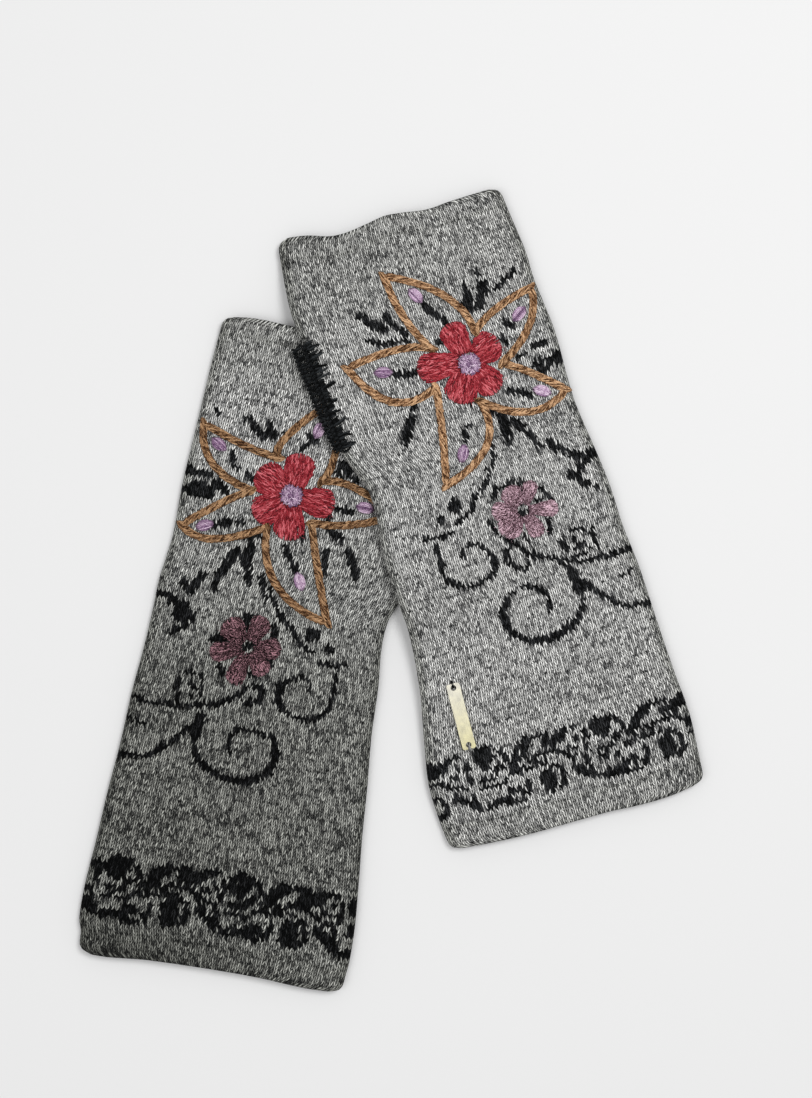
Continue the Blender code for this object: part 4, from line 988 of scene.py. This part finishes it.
# ---- Crocheted edge of the thumb slit ---------------------------------------------------------------------
# Both lips of the slit are bound in fuzzy black wool: a round crocheted cord, and blanket stitches that
# reach back onto the front wall about every four millimetres.
EDGE_CORD_RADIUS = 1.1
LIPS_APART_LOW = 1.8
LIPS_APART_HIGH = 4.4
EDGE_CORD_PROUD = 0.45
EDGE_CORD_INSET = 1.6
CLEARANCE = 0.3
DENSE_STEP = 0.55          # the close stitches next to the cord
DENSE_REACH = 4.0
TOOTH_STEP = 4.0           # and the long ones between them
TOOTH_REACH = 6.6
CORD_LOW, CORD_HIGH = SLIT_LOW + EDGE_CORD_INSET, SLIT_HIGH - EDGE_CORD_INSET
CORD_TURN = 1.75           # from one turn of the wound yarn to the next
TURN_STEPS = 9
BRIDGES = 70               # stitches from the back lip to the front one
HAIRS = 300                # on each lip
UP = Vector((0, 0, 1))


def slit_edge(warmer, up):
    return side_edges(warmer, up)[0 if warmer["slit_side"] < 0 else 1]


def lip_line(warmer, lip, up):
    """Where a lip's cord runs: across and height above the surface under the warmer."""
    t = (up - CORD_LOW) / (CORD_HIGH - CORD_LOW)
    height = 2 * WALL + FOLD_GAP
    out = CLEARANCE + EDGE_CORD_RADIUS
    if lip == "back":
        out += LIPS_APART_LOW + (LIPS_APART_HIGH - LIPS_APART_LOW) * t
    across = slit_edge(warmer, up) - warmer["slit_side"] * height / 2 + warmer["slit_side"] * out
    x, y = to_row(warmer, across, up)
    z = height - EDGE_CORD_RADIUS + EDGE_CORD_PROUD if lip == "front" else EDGE_CORD_RADIUS
    return Vector((x, y, z + base_height(warmer, x, y))) * MM


def round_cord(angle, out_way):
    """The way from a cord's middle to its surface, outwards at first and then over the top."""
    return out_way * math.cos(angle) + UP * math.sin(angle)


black_wool = wool(
    "black_wool", (0.0008, 0.001, 0.001), (0.003, 0.0034, 0.0037), (0.030, 0.034, 0.037), groove=0.12, fuzz=1.2)
for warmer in (LEFT, RIGHT):
    hand = random.Random(13)
    name, side, low, high = warmer["name"], warmer["slit_side"], CORD_LOW, CORD_HIGH
    out_way = Vector((*turned_by(warmer["turn"]), 0)) * side
    alongside = Vector((-out_way.y, out_way.x, 0))
    for lip in ("front", "back"):
        yarns = Yarns(sides=5)
        yarns.lay([lip_line(warmer, lip, low + (high - low) * k / 24) for k in range(25)], 0.62, 0.3)
        turns = round((high - low) / CORD_TURN)
        wound = []
        for k in range(turns * TURN_STEPS + 1):
            t = k / (turns * TURN_STEPS)
            loose = 1 + 0.18 * noise.noise(Vector((k * 0.31, warmer["turn"], 0)))
            off_middle = round_cord(2 * math.pi * k / TURN_STEPS, out_way) * 0.66 * loose * MM
            wound.append(lip_line(warmer, lip, low + (high - low) * t) + off_middle)
        yarns.lay(wound, 0.52, 0.6)
        if lip == "front":
            stitches = []
            for k in range(round((high - low + 1) / DENSE_STEP)):
                reach, slant = DENSE_REACH * hand.uniform(0.85, 1.1), hand.uniform(0.2, 1.0)
                stitches.append((low - 0.5 + DENSE_STEP * k, reach, 0.5, slant))
            tooth_up = low + 1.5
            while tooth_up < high:
                reach, lean = TOOTH_REACH * hand.uniform(0.85, 1.12), hand.uniform(-0.4, 1.8)
                for k in range(2):
                    shorter, slant = hand.uniform(0.9, 1.05), lean + hand.uniform(-0.5, 0.5)
                    stitches.append((tooth_up + 0.5 * k, reach * shorter, 0.85, slant))
                tooth_up += TOOTH_STEP * hand.uniform(0.75, 1.3)
            for up, reach, blunt, slant in stitches:
                edge = slit_edge(warmer, up)
                bow, stray = hand.uniform(-0.7, 0.7), hand.uniform(-0.3, 0.3)
                points = []
                for i in range(7):
                    t = i / 6
                    arch = math.sin(math.pi * t)
                    across, rise = edge - side * (0.4 + reach * t), 0.45 + 0.6 * arch - 0.35 * t
                    points.append(above(warmer, across, up + slant * t * t + stray + bow * arch, rise))
                yarns.lay(points, 0.48 * hand.uniform(0.8, 1.2), hand.random(), thin_ends=blunt)
        else:
            for k in range(BRIDGES):
                up = low + (high - low) * ((k + hand.random()) / BRIDGES)
                start, end = lip_line(warmer, "back", up), lip_line(warmer, "front", up)
                drift = alongside * hand.uniform(-1.5, 1.5) * MM
                raised = start.lerp(end, 0.35) + drift * 0.6 + Vector((0, 0, 0.3 * MM))
                yarns.lay([start, raised, start.lerp(end, 0.8) + drift], 0.5, hand.random())
        for k in range(HAIRS):
            root = lip_line(warmer, lip, hand.uniform(low, high))
            away = round_cord(hand.uniform(-0.6, 3.7), out_way)
            sway = alongside * hand.uniform(-0.8, 0.8)
            tip = root + (away * hand.uniform(1.3, 2.5) + sway) * MM
            tip.z = max(tip.z, base_height(warmer, *[c / MM for c in tip.xy]) * MM + 0.0003)
            yarns.lay([root, root.lerp(tip, 0.6) + sway * 0.2 * MM, tip], 0.07, hand.random(), thin_ends=0.3)
        yarns.piece(f"{name}_crocheted_lip_{lip}", black_wool, [f"{name}_thumb_edge_{lip}"])

# ---- The brass bar and its threads ------------------------------------------------------------------------
# A small plain bar of pale brass with a hole at each end. It is brushed along its length and a little
# yellower at its lower end. Thread goes through each hole and over the bar's end.
BAR_MIDDLE = (-33.0, 52.6)
BAR_TURN = -2.1
BAR_LENGTH = 27.0
BAR_HOLE_INSET = 1.75
# How far past the hole each point of a thread lies, and how high.
THREAD_PATH = ((-0.1, -0.15), (0.0, 0.55), (0.5, 1.0), (1.1, 1.1), (1.9, 0.95), (2.5, 0.25), (2.9, -0.1))

brass, shader = new_finish("pale_brass", 0.34, metallic=1.0)
spot = add(brass, "TexCoord").outputs["Object"]
middle_x, middle_y = to_row(RIGHT, *BAR_MIDDLE)
c, s = turned_by(RIGHT["turn"] + BAR_TURN)
straight = add(brass, "Mapping", {
    "Vector": spot, "Rotation": (0, 0, -math.radians(RIGHT["turn"] + BAR_TURN)),
    "Location": (-(middle_x * c + middle_y * s) * MM, (middle_x * s - middle_y * c) * MM, 0)}).outputs[0]
brushing = add(brass, "Mapping", {"Vector": straight, "Scale": (9000, 260, 2000)}).outputs[0]
lines = add(brass, "TexNoise", {"Vector": brushing, "Scale": 1.0, "Detail": 3.0}).outputs[0]
patches = add(brass, "TexNoise", {"Vector": straight, "Scale": 420.0, "Detail": 2.0}).outputs[0]
up_bar = add(brass, "SeparateXYZ", {0: straight}).outputs[1]
yellow = maths(brass, "MULTIPLY_ADD", up_bar, -38.0, maths(brass, "MULTIPLY_ADD", patches, 0.5, 0.25))
metal = ramp(brass, yellow, (0.0, (0.86, 0.83, 0.72)), (1.0, (0.86, 0.80, 0.48)))
darkening = ramp(brass, lines, (0.3, (0.80, 0.80, 0.80)), (0.7, (1.0, 1.0, 1.0)))
surface(brass, shader, mixed(brass, 1.0, metal, darkening, "MULTIPLY"), lines, 0.25, 0.00004)
brass.node_tree.links.new(maths(brass, "MULTIPLY_ADD", patches, 0.3, 0.22), shader.inputs["Roughness"])
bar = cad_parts["brass_bar"]
for slot in bar.material_slots:
    slot.material = brass

bar_tree = BVHTree.FromPolygons(
    [v.co.copy() for v in bar.data.vertices], [tuple(p.vertices) for p in bar.data.polygons])
grey_thread = wool("grey_thread", (0.10, 0.10, 0.10), (0.34, 0.34, 0.33), (0.72, 0.72, 0.70), pitch=1.0)
lean = math.radians(BAR_TURN)
for end, label, finish, slot in ((-1, "low", grey_thread, "grey_thread"), (1, "high", black_wool, "black_wool")):
    yarns = Yarns()
    for strand in (-0.36, 0.0, 0.36) if end < 0 else (-0.2, 0.2):
        points = []
        for out_along, rise in THREAD_PATH:
            reach = end * (BAR_LENGTH / 2 - BAR_HOLE_INSET + out_along)
            across = BAR_MIDDLE[0] - math.sin(lean) * reach + math.cos(lean) * strand * (0.6 + out_along * 0.3)
            up = BAR_MIDDLE[1] + math.cos(lean) * reach + math.sin(lean) * strand
            ground = above(RIGHT, across, up, 0.25)
            x, y = to_row(RIGHT, across, up)
            over = straight_down(bar_tree, x, y)
            bar_top = over.z if over else ground.z + 0.9 * MM
            on_bar = Vector((x * MM, y * MM, max(ground.z, bar_top + (rise - 0.75) * MM)))
            points.append(on_bar if rise > 0.3 else ground)
        yarns.lay(points, 0.24, 0.3 + strand, thin_ends=0.6)
    yarns.piece(f"bar_thread_{label}", finish, [f"bar_tie_{label}"])

# ---- Floor, light and camera ------------------------------------------------------------------------------
# A plain pale floor and two broad soft lights from above, the stronger one on the right. The camera
# looks straight down.
CAMERA_HEIGHT = 0.9        # in metres
SEEN_LENGTH = 0.4392       # of the floor, from the top of the picture to the bottom
bpy.ops.mesh.primitive_plane_add(size=6.0, location=(0, 0, -0.0002))
floor = bpy.context.object
floor.name = "floor"
floor_finish, shader = new_finish("pale_floor", 0.95)
shader.inputs["Base Color"].default_value = (0.775, 0.775, 0.775, 1)
floor.data.materials.append(floor_finish)
floor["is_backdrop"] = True

world = bpy.data.worlds.new("studio")
bpy.context.scene.world = world
world.use_nodes = True
world.node_tree.nodes["Background"].inputs[0].default_value = (1.0, 1.0, 1.0, 1)
world.node_tree.nodes["Background"].inputs[1].default_value = 0.55


def soft_light(name, place, size, power):
    bpy.ops.object.light_add(type="AREA", location=place)
    lamp = bpy.context.object
    lamp.name = name
    lamp.data.shape = "DISK"
    lamp.data.size = size
    lamp.data.energy = power
    lamp.rotation_euler = (-Vector(place)).to_track_quat("-Z", "Y").to_euler()


soft_light("key_light", (0.55, 0.45, 1.3), 0.7, 10.4)
soft_light("fill_light", (-0.8, -0.3, 1.4), 1.2, 6.0)

camera_data = bpy.data.cameras.new("camera")
camera_data.sensor_width = 36.0
camera_data.lens = camera_data.sensor_width * CAMERA_HEIGHT / SEEN_LENGTH
camera = bpy.data.objects.new("camera", camera_data)
bpy.context.scene.collection.objects.link(camera)
camera.location = (0.0063, 0.0166, CAMERA_HEIGHT + 0.004)
bpy.context.scene.camera = camera
bpy.context.scene.view_settings.view_transform = "Standard"

low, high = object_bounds()
